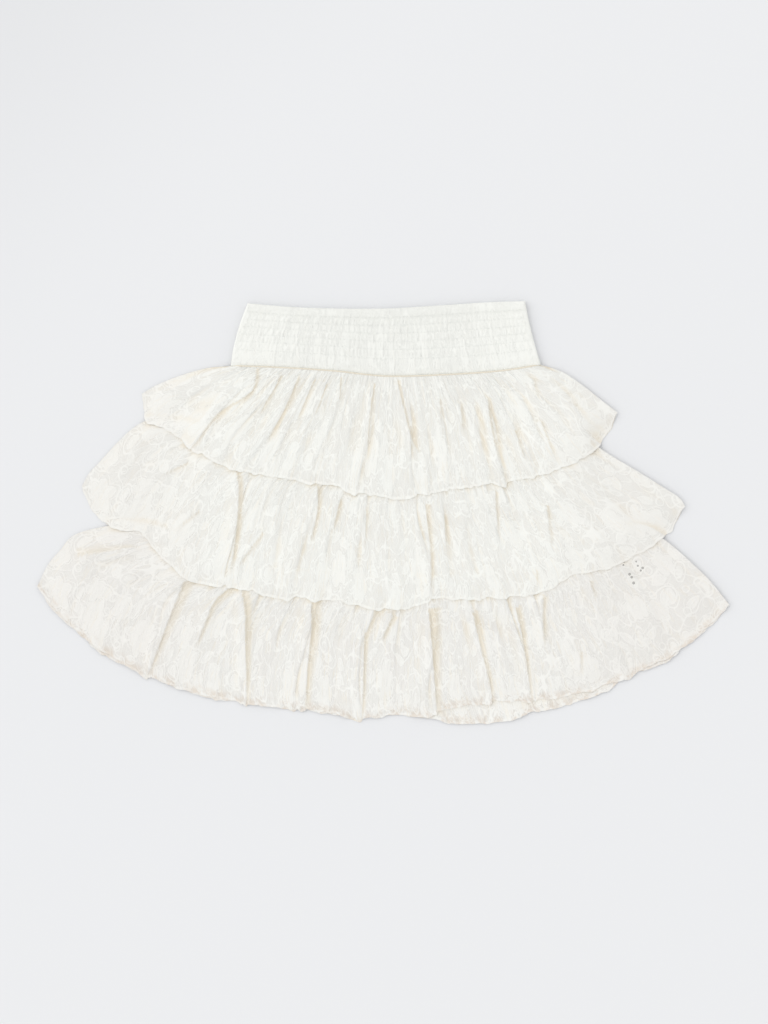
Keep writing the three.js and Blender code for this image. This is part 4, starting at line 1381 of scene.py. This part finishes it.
def place_camera():
    camera = bpy.data.objects.new("camera", bpy.data.cameras.new("camera"))
    bpy.context.scene.collection.objects.link(camera)
    camera.location = (*FRAME_CENTRE, CAMERA_HEIGHT)
    camera.data.sensor_fit = "VERTICAL"
    camera.data.sensor_height = 36.0
    frame_height = FRAME_PIXELS[1] * MM_PER_PIXEL * MM
    camera.data.lens = camera.data.sensor_height * CAMERA_HEIGHT / frame_height
    bpy.context.scene.camera = camera


def place_light():
    scene = bpy.context.scene
    scene.view_settings.view_transform = "Standard"
    scene.cycles.transparent_max_bounces = 10
    scene.cycles.diffuse_bounces = 6
    sun = bpy.data.objects.new("daylight", bpy.data.lights.new("daylight", "SUN"))
    scene.collection.objects.link(sun)
    sun.data.energy = SUN_STRENGTH
    sun.data.angle = SUN_ANGLE
    sun.data.color = SUN_COLOUR
    sun.rotation_euler = Vector(SUN_FROM).to_track_quat("Z", "Y").to_euler()
    world = bpy.data.worlds.new("studio")
    scene.world = world
    world.use_nodes = True
    sky = world.node_tree.nodes["Background"]
    sky.inputs["Color"].default_value = SKY_COLOUR
    sky.inputs["Strength"].default_value = SKY_STRENGTH


def place_floor():
    corner = FLOOR_SIZE / 2
    corners = ((-corner, -corner), (corner, -corner), (corner, corner), (-corner, corner))
    points = np.array([(x, y, 0) for x, y in corners])
    floor = new_piece("floor", points, [[0, 1, 2, 3]])
    floor.data.materials.append(pale_floor("pale floor"))


def add_to_skirt(piece, material, node=None):
    piece.data.materials.append(material)
    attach(piece, "root")
    if node:
        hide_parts(node)

def panel_of(tier, side, patch, rows, pleat_rows=()):
    """What is laid for one side of a tier."""
    own = dict(FRONT if side == "front" else BACK, width=FLAT[tier][0], length=FLAT[tier][1])
    if side == "back" and tier == 3:
        own["hem_lift"] = BACK_HEM_LIFT
    seed = tier if side == "front" else BACK_SEED + tier
    seam_press = 1.0 if tier > 1 else 0.0
    return Ruffle(f"ruffle_{tier}_{side}", patch, rows, pleat_rows, seed, seam_press, **own)


def below(name):
    return [LIES_ON[name]] if name in LIES_ON else []


def main():
    place_camera()
    place_light()
    place_floor()
    ruffle_lace = lace("floral lace", IVORY, CORD_WHITE, crinkle=0.19, streaks=0.8)
    band_lace = lace("smocked lace", BAND_NET, BAND_WHITE, openness=0.0, crinkle=0.03, streaks=0.2, rim=0.0)
    # rim: how strongly shade is painted in patches along the hem, strongest on the lowest tier
    sheer = {"net_tone": SHEER_IVORY, "cord_tone": SHEER_CORD, "rim": 0.8}
    laces = {
        "ruffle_3_back": lace("sheer floral lace", **sheer),
        "ruffle_3_front": lace("sheer floral lace with eyelets", eyelets=EYELETS, **sheer),
    }
    lining_cloth = woven("lining", LINING_WHITE)

    waist_patch = Patch(BAND_TOP, WAIST_SEAM, BAND_LEFT, BAND_RIGHT)
    tier_1 = Patch(WAIST_SEAM, TIER_1_HEM, TIER_1_LEFT, TIER_1_RIGHT)
    tier_2 = Patch(TIER_2_SEAM, TIER_2_HEM, TIER_2_LEFT, TIER_2_RIGHT)
    tier_3_front = Patch(TIER_3_SEAM, TIER_3_FRONT_HEM, TIER_3_LEFT, TIER_3_RIGHT)
    tier_3_back = Patch(TIER_3_SEAM, TIER_3_BACK_HEM, TIER_3_LEFT, TIER_3_RIGHT)
    lining_patch = Patch(WAIST_SEAM, LINING_HEM, LINING_LEFT, LINING_RIGHT)
    backs = [
        panel_of(tier, "back", patch, back_folds(tier))
        for tier, patch in ((1, tier_1), (2, tier_2), (3, tier_3_back))
    ]
    fronts = [
        panel_of(3, "front", tier_3_front, TIER_3_FOLDS, TIER_3_PLEATS),
        panel_of(2, "front", tier_2, TIER_2_FOLDS, TIER_2_PLEATS),
        panel_of(1, "front", tier_1, TIER_1_FOLDS, TIER_1_PLEATS),
    ]

    pile = Pile()
    laid = [(ruffle, *lay_ruffle(pile, ruffle)) for ruffle in backs]
    linings = {name: lay_lining(pile, lining_patch, seed) for name, seed in LINING_SEEDS.items()}
    laid += [(ruffle, *lay_ruffle(pile, ruffle)) for ruffle in fronts]

    for name, points in linings.items():
        panel = sheet_piece(name, points, *LINING_FLAT, LINING_THICK)
        add_to_skirt(panel, lining_cloth, name.replace("_panel", ""))
        below(name)

    for ruffle, points, pocket_shade in laid:
        # Where shade is painted: the hollows below the cloth around, and the pockets beside the pleats
        painted_shade = np.maximum(hollows(pile, points), pocket_shade)
        panel = sheet_piece(ruffle.name, points, ruffle.width, ruffle.length, CLOTH, painted_shade)
        node = ruffle.name.replace("ruffle", "tier")
        add_to_skirt(panel, laces.get(ruffle.name, ruffle_lace), node)
        below(ruffle.name)

    # A dark cord along the top of the first tier paints the shadow line at the waist seam
    seam_line = laid[-1][1][0]
    add_to_skirt(cord_along("seam_shadow_cord", seam_line, SEAM_RADIUS), thread("seam", SEAM_SHADOW_TONE))

    for name, side, node in (("waist_back", -1, "waistband_back"), ("waist_front", 1, "waistband_front")):
        upper, lower = band_points(waist_patch, side)
        panel = wall_piece(name, upper, lower, BAND_CLOTH, BAND_LENGTH)
        add_to_skirt(panel, band_lace, node)
        rows = []
        if side > 0:
            rows = [stitches("elastic_stitches", upper)]
            add_to_skirt(rows[0], thread("cord", CORD_WHITE))
        below(name)


main()
